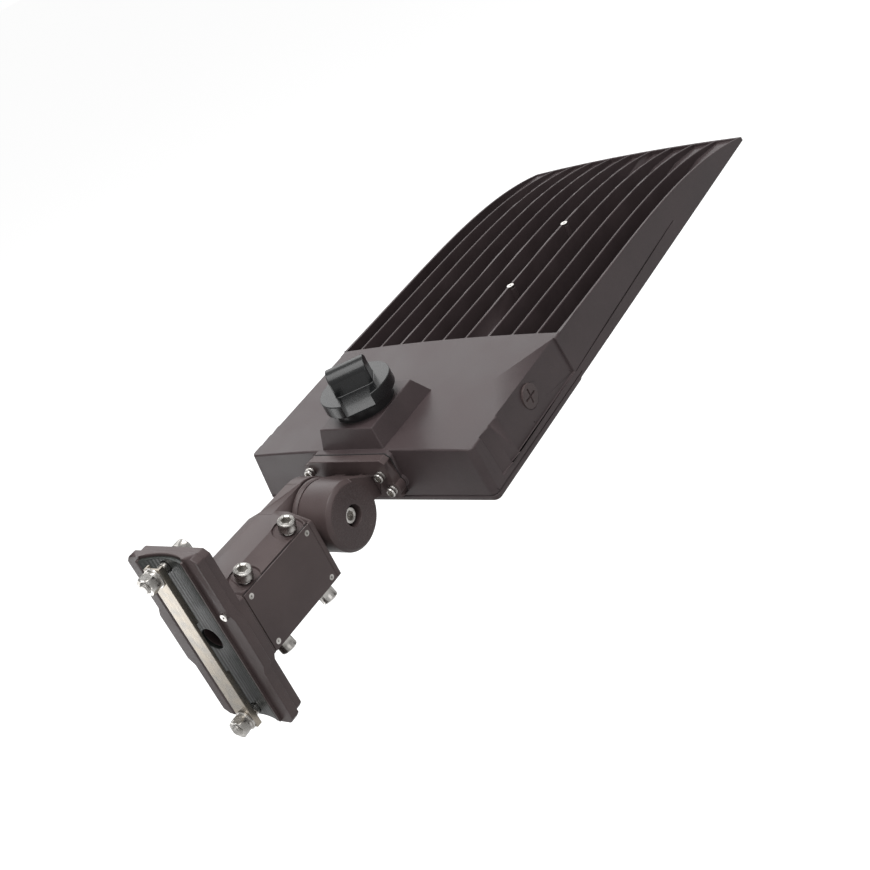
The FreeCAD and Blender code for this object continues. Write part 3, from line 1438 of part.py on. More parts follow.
def arc_slab(radius, thickness, start_angle, sweep, z0, z1):
    """Upright curved strip round the socket's axis."""
    outer = rod(radius + thickness / 2, socket_axis(z0), socket_axis(z1))
    inner = rod(radius - thickness / 2, socket_axis(z0), socket_axis(z1))
    reach = 3 * radius
    points = [socket_axis(z0)]
    for share in (0, 0.5, 1):
        angle = math.radians(start_angle + sweep * share)
        points.append(socket_axis(z0) + Vector(reach * math.cos(angle), reach * math.sin(angle), 0))
    wedge = prism(points, Vector(0, 0, z1 - z0))
    return outer.cut(inner).common(wedge)


def blade_starts():
    return [CAP_TWIST + 360.0 * index / BLADE_COUNT for index in range(BLADE_COUNT)]


def make_receptacle():
    flange_bottom = BOSS_TOP + SOCKET_GASKET_THICKNESS
    flange = rod(SOCKET_FLANGE_RADIUS, socket_axis(flange_bottom), socket_axis(SOCKET_FLANGE_TOP))
    barrel = rod(SOCKET_BODY_RADIUS, socket_axis(SOCKET_BOTTOM), socket_axis(flange_bottom))
    face = rod(SOCKET_FACE_RADIUS, socket_axis(SOCKET_FLANGE_TOP), socket_axis(SOCKET_FACE_TOP))
    slots = []
    extra = math.degrees(BLADE_SLOT_PLAY / BLADE_RADIUS)
    for start in blade_starts():
        slots.append(
            arc_slab(
                BLADE_RADIUS,
                BLADE_THICKNESS + 2 * BLADE_SLOT_PLAY,
                start - extra,
                BLADE_SWEEP + UNLOCK_TURN + 2 * extra,
                BLADE_BOTTOM - BLADE_SLOT_PLAY,
                SOCKET_FACE_TOP,
            )
        )
    return joined([flange, barrel, face]).cut(slots)


def make_receptacle_gasket():
    inner = SOCKET_BODY_RADIUS + FACE_GAP
    return ring(
        SOCKET_FLANGE_RADIUS, inner, socket_axis(BOSS_TOP), socket_axis(BOSS_TOP + SOCKET_GASKET_THICKNESS)
    )


def make_receptacle_retainer():
    top = BOSS_TOP - 2 * BOX_ROOF - FACE_GAP
    return ring(
        RETAINER_RADIUS, SOCKET_BODY_RADIUS, socket_axis(top - RETAINER_THICKNESS), socket_axis(top)
    )


def cap_turned(shape):
    """Turn a shape drawn with the grip along x to the grip's real direction."""
    shape.rotate(socket_axis(0), Vector(0, 0, 1), CAP_TWIST)
    return shape


def is_upright(edge):
    box = edge.BoundBox
    return box.ZLength > NEAR and box.XLength < NEAR and box.YLength < NEAR


def make_shorting_cap():
    disc = rod(CAP_RADIUS, socket_axis(CAP_BOTTOM), socket_axis(CAP_TOP))
    rims = [edge for edge in disc.Edges if edge.BoundBox.ZLength < NEAR]
    disc = disc.makeFillet(CAP_FILLET, rims)
    half_length = GRIP_HALF_LENGTH
    half_width = GRIP_HALF_WIDTH
    x = SOCKET_X
    start = Vector(x - half_length, -half_width, GRIP_SHOULDER)
    crest = Vector(x - half_length, 0, GRIP_TOP)
    end = Vector(x - half_length, half_width, GRIP_SHOULDER)
    foot_end = Vector(x - half_length, half_width, CAP_BOTTOM + CAP_FILLET)
    foot_start = Vector(x - half_length, -half_width, CAP_BOTTOM + CAP_FILLET)
    outline = [
        Part.Arc(start, crest, end).toShape(),
        Part.makeLine(end, foot_end),
        Part.makeLine(foot_end, foot_start),
        Part.makeLine(foot_start, start),
    ]
    grip = Part.Face(Part.Wire(outline)).extrude(Vector(2 * half_length, 0, 0))
    uprights = [edge for edge in grip.Edges if is_upright(edge)]
    grip = grip.makeFillet(GRIP_CORNER, uprights)
    scallops = []
    side = SCALLOP_HALF_WIDTH
    for sign in (-1, 1):
        profile = [
            Vector(x - side, sign * half_width, CAP_TOP),
            Vector(x - side, sign * SCALLOP_FOOT, CAP_BOTTOM + CAP_FILLET),
            Vector(x - side, sign * 2 * CAP_RADIUS, CAP_BOTTOM + CAP_FILLET),
            Vector(x - side, sign * 2 * CAP_RADIUS, 2 * CAP_TOP),
            Vector(x - side, sign * half_width, 2 * CAP_TOP),
        ]
        scallops.append(prism(profile, Vector(2 * side, 0, 0)))
    cavity = rod(CAP_CAVITY_RADIUS, socket_axis(CAP_BOTTOM), socket_axis(CAP_CAVITY_TOP))
    body = disc.cut(scallops).fuse(grip).removeSplitter().cut(cavity)
    return cap_turned(body)


def make_cap_gasket():
    start = socket_axis(CAP_BOTTOM - CAP_GASKET_THICKNESS)
    return ring(CAP_GASKET_OUTER, CAP_GASKET_INNER, start, socket_axis(CAP_BOTTOM))


def make_cap_blades():
    blades = []
    for start in blade_starts():
        blades.append(
            arc_slab(BLADE_RADIUS, BLADE_THICKNESS, start, BLADE_SWEEP, BLADE_BOTTOM, CAP_CAVITY_TOP)
        )
    return Part.makeCompound(blades)


# ---- write every piece ------------------------------------------------------------------------------
os.makedirs("parts", exist_ok=True)

save("saddle_plate", make_saddle_plate())
save("saddle_pad", make_saddle_pad())
save("bonding_screw", make_bonding_screw())
save("pole_bolts", make_pole_bolts())
save("backing_channel", make_backing_channel())
save("pole_flat_washers", stacked_rings(BACKING_WEB_X, FLAT_WASHER_RADIUS, FLAT_WASHER_THICKNESS))
save(
    "pole_spring_washers",
    stacked_rings(BACKING_WEB_X - FLAT_WASHER_THICKNESS, SPRING_WASHER_RADIUS, SPRING_WASHER_THICKNESS),
)
save("pole_nuts", make_pole_nuts())
save("arm_body", make_arm_body())
save("clamp_bolts", make_clamp_bolts())
save("wiring_cover", make_wiring_cover())
save("wiring_cover_gasket", make_wiring_cover_gasket())
save("wiring_cover_screws", make_wiring_cover_screws())
save("pivot_bolt", make_pivot_bolt())
save("pivot_washers", make_pivot_washers())
save("pivot_nut", make_pivot_nut())
save_lamp("knuckle_bracket", make_knuckle_bracket())
save_lamp("bracket_gasket", make_bracket_gasket())
save_lamp("bracket_bolts", make_bracket_bolts())
save_lamp("housing", make_housing())
save_lamp("side_plug", make_side_plug())
save_lamp("plug_o_ring", make_plug_o_ring())
save_lamp("fin_screws", make_fin_screws())
save_lamp("wire_grommet", make_wire_grommet())
save_lamp("driver_door", make_driver_door())
save_lamp("door_seal", make_door_seal())
save_lamp("door_screws", make_door_screws())
save_lamp("led_driver", tabbed_box(DRIVER_CENTRE, DRIVER_SIZE))
save_lamp("surge_protector", tabbed_box(SURGE_CENTRE, SURGE_SIZE))
save_lamp("terminal_block", make_terminal_block())
save_lamp("inner_screws", make_inner_screws())
save_lamp("led_board_rear", make_led_board(0))
save_lamp("led_board_front", make_led_board(1))
save_lamp("led_chips", make_led_chips())
save_lamp("lens_plate_rear", make_lens_plate(0))
save_lamp("lens_plate_front", make_lens_plate(1))
save_lamp("lens_gasket", make_lens_gasket())
save_lamp("lens_bezel", make_lens_bezel())
save_lamp("bezel_screws", make_bezel_screws())
save_lamp("receptacle", make_receptacle())
save_lamp("receptacle_gasket", make_receptacle_gasket())
save_lamp("receptacle_retainer", make_receptacle_retainer())
save_lamp("shorting_cap", make_shorting_cap())
save_lamp("cap_gasket", make_cap_gasket())
save_lamp("cap_blades", make_cap_blades())
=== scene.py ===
import json
import math

import bmesh
import bpy
import numpy as np
from mathutils import Matrix, Vector


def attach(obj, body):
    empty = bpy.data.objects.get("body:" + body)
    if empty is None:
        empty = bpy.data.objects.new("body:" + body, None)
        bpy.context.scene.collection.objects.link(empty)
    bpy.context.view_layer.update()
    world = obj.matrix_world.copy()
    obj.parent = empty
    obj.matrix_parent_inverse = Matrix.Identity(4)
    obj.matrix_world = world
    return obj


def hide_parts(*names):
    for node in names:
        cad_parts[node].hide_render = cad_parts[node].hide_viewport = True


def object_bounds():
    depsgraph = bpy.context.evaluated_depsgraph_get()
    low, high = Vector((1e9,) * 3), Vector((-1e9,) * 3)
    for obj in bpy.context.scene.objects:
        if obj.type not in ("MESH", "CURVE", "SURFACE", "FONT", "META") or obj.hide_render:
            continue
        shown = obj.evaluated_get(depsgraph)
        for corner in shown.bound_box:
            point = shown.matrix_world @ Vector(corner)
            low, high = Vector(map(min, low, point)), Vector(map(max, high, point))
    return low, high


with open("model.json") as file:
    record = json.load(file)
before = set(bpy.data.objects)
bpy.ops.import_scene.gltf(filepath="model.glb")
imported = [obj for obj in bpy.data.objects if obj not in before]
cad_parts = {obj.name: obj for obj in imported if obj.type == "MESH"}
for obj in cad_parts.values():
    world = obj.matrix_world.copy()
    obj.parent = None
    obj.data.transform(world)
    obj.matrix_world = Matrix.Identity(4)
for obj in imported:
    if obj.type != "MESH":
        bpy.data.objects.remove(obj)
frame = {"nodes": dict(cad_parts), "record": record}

CAD_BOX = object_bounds()

# World frame: metres, +X out along the arm, +Z up along the pole, +Y to the left seen from the pole.

# ---- camera ------------------------------------------------------------------------------------
CAMERA_PLACE = (-0.509196, -0.864704, 0.562339)
CAMERA_RIGHT = (0.5010151, -0.7700931, -0.3948929)
CAMERA_DOWN = (-0.5929830, 0.0268837, -0.8047661)
CAMERA_FORWARD = (0.6303610, 0.6373648, -0.4431830)
CAMERA_LENS = 55.61
CAMERA_SENSOR = 36.0

# ---- lamp frame to world -----------------------------------------------------------------------
PIVOT = np.array((0.164724, -0.0234, 0.0043))
PIVOT_TO_BOX = 0.2293
PIVOT_HEIGHT = 0.0253
TILT = math.radians(3.0)


def tilted(points):
    """Points or directions turned by the lamp's tilt about the pivot's axis."""
    x, y, z = np.asarray(points, float).reshape(-1, 3).T
    c, s = math.cos(TILT), math.sin(TILT)
    return np.column_stack((x * c - z * s, y, x * s + z * c))


def lamp(points):
    """Points of the lamp frame (driver box front, casting underside, centre plane) moved to the world."""
    return tilted(np.asarray(points, float) + (PIVOT_TO_BOX, 0.0, -PIVOT_HEIGHT)) + PIVOT


def lamp_way(direction):
    """A direction of the lamp frame turned to the world."""
    return tilted(direction)[0]


# ---- colours -----------------------------------------------------------------------------------
def linear(red, green, blue):
    """Display colour, 0 to 255, as the linear colour that shaders take."""
    def one(value):
        value = value / 255.0
        return value / 12.92 if value <= 0.04045 else ((value + 0.055) / 1.055) ** 2.4
    return (one(red), one(green), one(blue), 1.0)


BRONZE_DARK = linear(68, 58, 59)
BRONZE_LIGHT = linear(84, 73, 74)
# Painted light: the arm's bronze is a lighter copy of the lamp's bronze, standing in for the brighter light
# that falls on the arm and the parts that take this coat.
BRONZE_ARM_PAINTED_LIT_DARK = linear(76, 64, 64)
BRONZE_ARM_PAINTED_LIT_LIGHT = linear(94, 81, 80)
STEEL = linear(212, 209, 205)
STEEL_DARK = linear(150, 147, 142)
RUBBER = linear(34, 37, 36)
PLASTIC_BLACK = linear(15, 16, 17)
BOARD_WHITE = linear(226, 227, 222)
PHOSPHOR = linear(236, 198, 70)
BRASS = linear(196, 160, 96)


# ---- surface textures: scales are per metre, depths and places in metres -----------------------
CLOUD_SCALE = 22.0
CLOUD_SHARE = 0.45            # part of the coat's colour that follows the clouds; grain takes the rest
GRAIN_SCALE = 2600.0
GRAIN_DEPTH = 0.00003
PEEL_SCALE = 620.0
PEEL_DEPTH = 0.00006
COAT_SPECULAR = 0.36
SPECKLE_SCALE = 520.0
SPECKLE_DEPTH = 0.0005
SPECKLE_RADII = (0.0125, 0.0292)
DISC_FACE_Y = -0.0471
DISC_FACE_ROOM = 0.0004
PAD_LINE_PITCH = 0.0042
PAD_LINE_DEPTH = 0.00012
SCRATCH_SCALE = 1800.0
SCRATCH_DEPTH = 0.00001
GLOSS_COAT_ROUGHNESS = 0.06


# ---- node helpers ------------------------------------------------------------------------------
def new_material(name):
    material = bpy.data.materials.new(name)
    material.use_nodes = True
    tree = material.node_tree
    shader = tree.nodes["Principled BSDF"]
    place = tree.nodes.new("ShaderNodeTexCoord")
    return material, tree, shader, place.outputs["Object"]


def noise(tree, where, scale, detail=2.0, roughness=0.5):
    node = tree.nodes.new("ShaderNodeTexNoise")
    node.inputs["Scale"].default_value = scale
    node.inputs["Detail"].default_value = detail
    node.inputs["Roughness"].default_value = roughness
    tree.links.new(where, node.inputs["Vector"])
    return node.outputs["Fac"]


def ramp(tree, value, stops):
    """Colour ramp through (place, colour) stops."""
    node = tree.nodes.new("ShaderNodeValToRGB")
    row = node.color_ramp
    row.elements[0].position, row.elements[0].color = stops[0]
    row.elements[1].position, row.elements[1].color = stops[-1]
    for place, colour in stops[1:-1]:
        row.elements.new(place).color = colour
    tree.links.new(value, node.inputs["Fac"])
    return node.outputs["Color"]


def spread(tree, value, low, high, from_low=0.3, from_high=0.7):
    """A value from a noise's usual range to low..high."""
    node = tree.nodes.new("ShaderNodeMapRange")
    for name, number in (("From Min", from_low), ("From Max", from_high), ("To Min", low), ("To Max", high)):
        node.inputs[name].default_value = number
    tree.links.new(value, node.inputs["Value"])
    return node.outputs["Result"]


def maths(tree, operation, first, second=None):
    node = tree.nodes.new("ShaderNodeMath")
    node.operation = operation
    for socket, item in zip(node.inputs, (first, second)):
        if item is None:
            continue
        if isinstance(item, (int, float)):
            socket.default_value = item
        else:
            tree.links.new(item, socket)
    return node.outputs["Value"]


def bump(tree, shader, heights, strength=0.5):
    """Chain of bumps: each (height value, metres)."""
    normal = None
    for height, distance in heights:
        node = tree.nodes.new("ShaderNodeBump")
        node.inputs["Strength"].default_value = strength
        node.inputs["Distance"].default_value = distance
        tree.links.new(height, node.inputs["Height"])
        if normal is not None:
            tree.links.new(normal, node.inputs["Normal"])
        normal = node.outputs["Normal"]
    tree.links.new(normal, shader.inputs["Normal"])


def coordinate(tree, where):
    node = tree.nodes.new("ShaderNodeSeparateXYZ")
    tree.links.new(where, node.inputs["Vector"])
    return node.outputs["X"], node.outputs["Y"], node.outputs["Z"]


def powder_coat(name, dark=BRONZE_DARK, light=BRONZE_LIGHT, rough=(0.34, 0.46), extra=None):
    """Bronze powder coat: fine grain, faint cloudiness of colour, orange-peel waves."""
    material, tree, shader, where = new_material(name)
    cloud = noise(tree, where, CLOUD_SCALE, 4.0)
    grain = noise(tree, where, GRAIN_SCALE, 1.0)
    peel = noise(tree, where, PEEL_SCALE, 2.0)
    clouded = maths(tree, "MULTIPLY", cloud, CLOUD_SHARE)
    grained = maths(tree, "MULTIPLY", grain, 1.0 - CLOUD_SHARE)
    colour = ramp(tree, maths(tree, "ADD", clouded, grained), ((0.38, dark), (0.62, light)))
    tree.links.new(colour, shader.inputs["Base Color"])
    tree.links.new(spread(tree, cloud, rough[0], rough[1]), shader.inputs["Roughness"])
    shader.inputs["Specular IOR Level"].default_value = COAT_SPECULAR
    heights = [(peel, PEEL_DEPTH), (grain, GRAIN_DEPTH)]
    if extra:
        heights.append((extra(tree, where), SPECKLE_DEPTH))
    bump(tree, shader, heights)
    return material


def pad_lines(tree, where):
    """Long fine ridges down the pole pad, a sine of the place across it."""
    across = coordinate(tree, where)[1]
    return maths(tree, "SINE", maths(tree, "MULTIPLY", across, 2.0 * math.pi / PAD_LINE_PITCH))


def disc_speckle(tree, where):
    """Coarse cast speckle on the near face of the knuckle disc only, in object coordinates."""
    x, y, z = coordinate(tree, where)
    across = maths(tree, "POWER", maths(tree, "SUBTRACT", x, float(PIVOT[0])), 2.0)
    up = maths(tree, "POWER", maths(tree, "SUBTRACT", z, float(PIVOT[2])), 2.0)
    radius = maths(tree, "SQRT", maths(tree, "ADD", across, up))
    inner = maths(tree, "GREATER_THAN", radius, SPECKLE_RADII[0])
    outer = maths(tree, "LESS_THAN", radius, SPECKLE_RADII[1])
    near = maths(tree, "LESS_THAN", y, DISC_FACE_Y + DISC_FACE_ROOM)
    mask = maths(tree, "MULTIPLY", maths(tree, "MULTIPLY", outer, inner), near)
    pits = spread(tree, noise(tree, where, SPECKLE_SCALE, 3.0, 0.7), 0.0, 1.0, 0.42, 0.6)
    return maths(tree, "MULTIPLY", pits, mask)


def stainless(name, base=STEEL, rough=(0.2, 0.32), brushed=None):
    """Stainless steel with fine scratches, stretched along one axis where it is brushed."""
    material, tree, shader, where = new_material(name)
    vector = where
    if brushed:
        mapping = tree.nodes.new("ShaderNodeMapping")
        mapping.inputs["Scale"].default_value = brushed
        tree.links.new(where, mapping.inputs["Vector"])
        vector = mapping.outputs["Vector"]
    fine = noise(tree, vector, SCRATCH_SCALE, 3.0, 0.6)
    cloud = noise(tree, where, 90.0, 3.0)
    shader.inputs["Metallic"].default_value = 1.0
    tree.links.new(ramp(tree, cloud, ((0.3, STEEL_DARK), (0.62, base))), shader.inputs["Base Color"])
    tree.links.new(spread(tree, fine, rough[0], rough[1]), shader.inputs["Roughness"])
    bump(tree, shader, [(fine, SCRATCH_DEPTH)], 0.4)
    return material


def moulded(name, low, high, rough, grain_scale=1500.0, depth=0.00002, coat=0.0, extra=None):
    """Moulded plastic or rubber: slight colour clouds and a fine skin."""
    material, tree, shader, where = new_material(name)
    cloud = noise(tree, where, 60.0, 3.0)
    grain = noise(tree, where, grain_scale, 2.0)
    tree.links.new(ramp(tree, cloud, ((0.35, low), (0.65, high))), shader.inputs["Base Color"])
    tree.links.new(spread(tree, grain, rough[0], rough[1]), shader.inputs["Roughness"])
    shader.inputs["Coat Weight"].default_value = coat
    shader.inputs["Coat Roughness"].default_value = GLOSS_COAT_ROUGHNESS
    heights = [(grain, depth)]
    if extra:
        heights.append((extra(tree, where), PAD_LINE_DEPTH))
    bump(tree, shader, heights)
    return material


def clear_optics(name):
    """Clear moulded lens plastic: thin, slightly frosted all over by a roughness that varies."""
    material, tree, shader, where = new_material(name)
    cloud = noise(tree, where, 300.0, 2.0)
    shader.inputs["Base Color"].default_value = (0.96, 0.98, 1.0, 1.0)
    shader.inputs["Transmission Weight"].default_value = 1.0
    shader.inputs["IOR"].default_value = 1.49
    tree.links.new(spread(tree, cloud, 0.02, 0.07), shader.inputs["Roughness"])
    bump(tree, shader, [(cloud, 0.00001)], 0.3)
    return material


def led_board(name):
    """White solder mask over copper tracks that show as faint relief."""
    material, tree, shader, where = new_material(name)
    brick = tree.nodes.new("ShaderNodeTexBrick")
    brick.inputs["Scale"].default_value = 28.0
    brick.inputs["Mortar Size"].default_value = 0.03
    brick.inputs["Color1"].default_value = BOARD_WHITE
    brick.inputs["Color2"].default_value = linear(220, 222, 216)
    brick.inputs["Mortar"].default_value = linear(196, 200, 190)
    tree.links.new(where, brick.inputs["Vector"])
    tree.links.new(brick.outputs["Color"], shader.inputs["Base Color"])
    grain = noise(tree, where, 900.0, 2.0)
    tree.links.new(spread(tree, grain, 0.35, 0.5), shader.inputs["Roughness"])
    bump(tree, shader, [(brick.outputs["Fac"], 0.00004), (grain, 0.00001)])
    return material


def phosphor(name):
    """Yellow phosphor dome, one per chip, by the chip's own surface."""
    material, tree, shader, where = new_material(name)
    grain = noise(tree, where, 5000.0, 2.0)
    yellow = ramp(tree, grain, ((0.35, linear(226, 180, 52)), (0.65, PHOSPHOR)))
    tree.links.new(yellow, shader.inputs["Base Color"])
    tree.links.new(spread(tree, grain, 0.3, 0.45), shader.inputs["Roughness"])
    shader.inputs["Subsurface Weight"].default_value = 0.1
    shader.inputs["Subsurface Radius"].default_value = (0.0004, 0.0003, 0.0001)
    bump(tree, shader, [(grain, 0.00002)])
    return material


# ---- materials ---------------------------------------------------------------------------------
# The first, second and fourth coats take the lighter bronze above: painted light on the arm, saddle, bracket,
# cover, door, plug and bezel, not a different coat.
COAT_PAINTED_LIT = powder_coat("bronze_coat_painted_lit", BRONZE_ARM_PAINTED_LIT_DARK, BRONZE_ARM_PAINTED_LIT_LIGHT)
COAT_DISC_PAINTED_LIT = powder_coat("bronze_coat_cast_disc_painted_lit", BRONZE_ARM_PAINTED_LIT_DARK, BRONZE_ARM_PAINTED_LIT_LIGHT, extra=disc_speckle)
COAT_FINS = powder_coat("bronze_coat_lamp")
COAT_SMOOTH_PAINTED_LIT = powder_coat("bronze_coat_cover_painted_lit", BRONZE_ARM_PAINTED_LIT_DARK, BRONZE_ARM_PAINTED_LIT_LIGHT, rough=(0.3, 0.4))
BRIGHT = stainless("bright_stainless")
SHEET = stainless("brushed_sheet", linear(168, 160, 148), (0.24, 0.36), (1.0, 1.0, 0.03))
SEAL = moulded("black_rubber", linear(26, 28, 28), RUBBER, (0.6, 0.78), 900.0, 0.00004)
PAD = moulded(
    "pad_rubber", linear(34, 38, 36), linear(48, 52, 49), (0.34, 0.5), 700.0, 0.00004, extra=pad_lines,
)
GLOSS = moulded("gloss_black_plastic", PLASTIC_BLACK, linear(20, 21, 22), (0.24, 0.34), 1200.0, 0.00001, 0.12)
SOCKET_BLACK = moulded("socket_plastic", linear(18, 18, 19), linear(24, 24, 25), (0.3, 0.42))
CASE = stainless("driver_case", linear(176, 178, 180), (0.34, 0.46), (0.05, 1.0, 1.0))
SURGE = moulded("surge_case", linear(24, 24, 26), linear(32, 32, 34), (0.42, 0.56))
NYLON = moulded("terminal_nylon", linear(196, 193, 184), linear(206, 203, 194), (0.4, 0.55))
BLADE = stainless("blade_brass", BRASS, (0.22, 0.34))
OPTICS = clear_optics("clear_optics")
BOARD = led_board("white_board")
CHIP = phosphor("led_phosphor")

NODE_LOOKS = {
    "saddle_plate": COAT_PAINTED_LIT, "arm_body": COAT_PAINTED_LIT, "knuckle_bracket": COAT_DISC_PAINTED_LIT, "wiring_cover": COAT_SMOOTH_PAINTED_LIT,
    "housing": COAT_FINS, "driver_door": COAT_PAINTED_LIT, "side_plug": COAT_PAINTED_LIT, "lens_bezel": COAT_PAINTED_LIT,
    "bonding_screw": BRIGHT, "pole_bolts": BRIGHT, "clamp_bolts": BRIGHT,
    "wiring_cover_screws": BRIGHT, "pivot_bolt": BRIGHT, "pivot_washers": BRIGHT, "pivot_nut": BRIGHT,
    "bracket_bolts": BRIGHT, "fin_screws": BRIGHT, "door_screws": BRIGHT, "inner_screws": BRIGHT,
    "bezel_screws": BRIGHT, "pole_flat_washers": BRIGHT, "pole_spring_washers": BRIGHT, "pole_nuts": BRIGHT,
    "backing_channel": SHEET, "saddle_pad": PAD, "wiring_cover_gasket": SEAL, "bracket_gasket": SEAL,
    "plug_o_ring": SEAL, "door_seal": SEAL, "lens_gasket": SEAL, "wire_grommet": SEAL,
    "receptacle_gasket": SEAL, "cap_gasket": SEAL, "led_driver": CASE, "surge_protector": SURGE,
    "terminal_block": NYLON, "led_board_rear": BOARD, "led_board_front": BOARD, "led_chips": CHIP,
    "lens_plate_rear": OPTICS, "lens_plate_front": OPTICS, "receptacle": SOCKET_BLACK,
    "receptacle_retainer": SOCKET_BLACK, "shorting_cap": GLOSS, "cap_blades": BLADE,
}
BODY_OF = {node: body for body, nodes in frame["record"]["behaviour"]["bodies"].items() for node in nodes}

for node, material in NODE_LOOKS.items():
    item = frame["nodes"][node]
    item.data.materials.clear()
    item.data.materials.append(material)


# ---- copies of the castings, cap, channel and pad with their edges eased -----------------------
ROOM_SHARE = 2.2              # an edge shorter than this many bevel widths is a short one
IN_LINE = 0.87                # cosine above which the next edge carries this one on
CRISP_ANGLE = math.radians(32.0)
FLAT_ANGLE = math.radians(0.1)
MERGE_DISTANCE = 2e-6
BEVEL_SEGMENTS = 2
FACE_AREA_WEIGHT = 60         # how much the large faces lead the normals
BOSS_FOOT_X = (0.215, 0.325)
BOSS_FOOT_HALF_WIDTH = 0.046
BOSS_FOOT_Z = 0.030


def has_room(edge, width):
    """Whether a bevel of this width fits: no short edge leaves either end of the edge sideways."""
    way = (edge.verts[1].co - edge.verts[0].co).normalized()
    for vert in edge.verts:
        for other in vert.link_edges:
            length = other.calc_length()
            if other is edge or length > ROOM_SHARE * width:
                continue
            aside = (other.verts[1].co - other.verts[0].co) / max(length, 1e-9)
            if abs(aside.dot(way)) < IN_LINE:
                return False
    return True


def stays_sharp(node, edge):
    """Inner corners of the saddle's steps, and the line where the socket's boss meets the crowned deck."""
    if edge.is_convex:
        return False
    middle = (edge.verts[0].co + edge.verts[1].co) / 2
    at_boss = BOSS_FOOT_X[0] < middle.x < BOSS_FOOT_X[1] and abs(middle.y - PIVOT[1]) < BOSS_FOOT_HALF_WIDTH
    return node == "saddle_plate" or (node == "housing" and at_boss and middle.z > BOSS_FOOT_Z)


def eased(node, width):
    """The node's own solid with its edges rounded: doubles merged, flat areas made whole, then a bevel."""
    mesh = frame["nodes"][node].data.copy()
    mesh.name = node + "_eased"
    shape = bmesh.new()
    shape.from_mesh(mesh)
    bmesh.ops.remove_doubles(shape, verts=shape.verts, dist=MERGE_DISTANCE)
    bmesh.ops.dissolve_limit(
        shape, angle_limit=FLAT_ANGLE, use_dissolve_boundaries=False,
        verts=shape.verts, edges=shape.edges, delimit={"NORMAL"},
    )
    weight = shape.edges.layers.float.new("bevel_weight_edge")
    for edge in shape.edges:
        paired = len(edge.link_faces) == 2
        crisp = not paired or edge.calc_face_angle(0.0) > CRISP_ANGLE
        rounded = crisp and paired and has_room(edge, width) and not stays_sharp(node, edge)
        edge[weight] = 1.0 if rounded else 0.0
        edge.smooth = rounded or not crisp
    for face in shape.faces:
        face.smooth = True
    shape.to_mesh(mesh)
    shape.free()
    piece = bpy.data.objects.new(node + "_eased", mesh)
    bpy.context.collection.objects.link(piece)
    bevel = piece.modifiers.new("eased_edges", "BEVEL")
    bevel.width = width
    bevel.segments = BEVEL_SEGMENTS
    bevel.limit_method = "WEIGHT"
    bevel.miter_outer = "MITER_ARC"
    bevel.use_clamp_overlap = False
    fair = piece.modifiers.new("fair_normals", "WEIGHTED_NORMAL")
    fair.weight = FACE_AREA_WEIGHT
    fair.keep_sharp = True
    mesh.materials.clear()
    mesh.materials.append(NODE_LOOKS[node])
    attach(piece, BODY_OF[node])
    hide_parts(node)


EASED_WIDTHS = {
    "housing": 0.0009,
    "saddle_plate": 0.0009,
    "arm_body": 0.0011,
    "knuckle_bracket": 0.0008,
    "wiring_cover": 0.0004,
    "driver_door": 0.0005,
    "shorting_cap": 0.0010,
    "backing_channel": 0.0004,
    "saddle_pad": 0.0005,
    "side_plug": 0.0004,
}
for node, width in EASED_WIDTHS.items():
    eased(node, width)


# ---- turned and threaded fasteners -------------------------------------------------------------
ROUND, HEXAGON, KNURL, THREAD = range(4)
TURN_STEPS = 72
THREAD_STEPS = 6              # rows for each turn of a thread
M10_THREAD_PITCH = 0.0015
M6_THREAD_PITCH = 0.001
M3_THREAD_PITCH = 0.0005
THREAD_DEPTH_SHARE = 0.6      # thread depth as part of its pitch
KNURL_DEPTH = 0.00022
EDGE_BREAK = 0.0006           # chamfer on heads and tips
BOLT_TIP_SHARES = (0.9, 0.78)
FLAT_HEAD_LAND = 0.0001       # height of the rim round a countersunk head
FLAT_TIP_SHARE = 0.7
KEY_DEPTH_SHARE = 0.75        # recess of a countersunk head, as parts of its cone and its shank
KEY_SHARE = 0.52
KEY_MOUTH_SHARE = 0.72
NUT_LEVELS = (0.0, 0.04, 0.12, 0.5, 0.88, 0.96, 1.0)
NUT_FACE_SHARE = 0.985        # round face at a nut's ends, as part of its flats
NUT_CONE_SLOPE = 1.9
WASHER_EDGE_SHARE = 0.18
SPLIT_STEPS = 60
SPLIT_HALF_ANGLE = 0.09
SPLIT_LEAN = 0.12             # turn of the cut from the ring's one face to the other
TURNED_CRISP_ANGLE = math.radians(28.0)


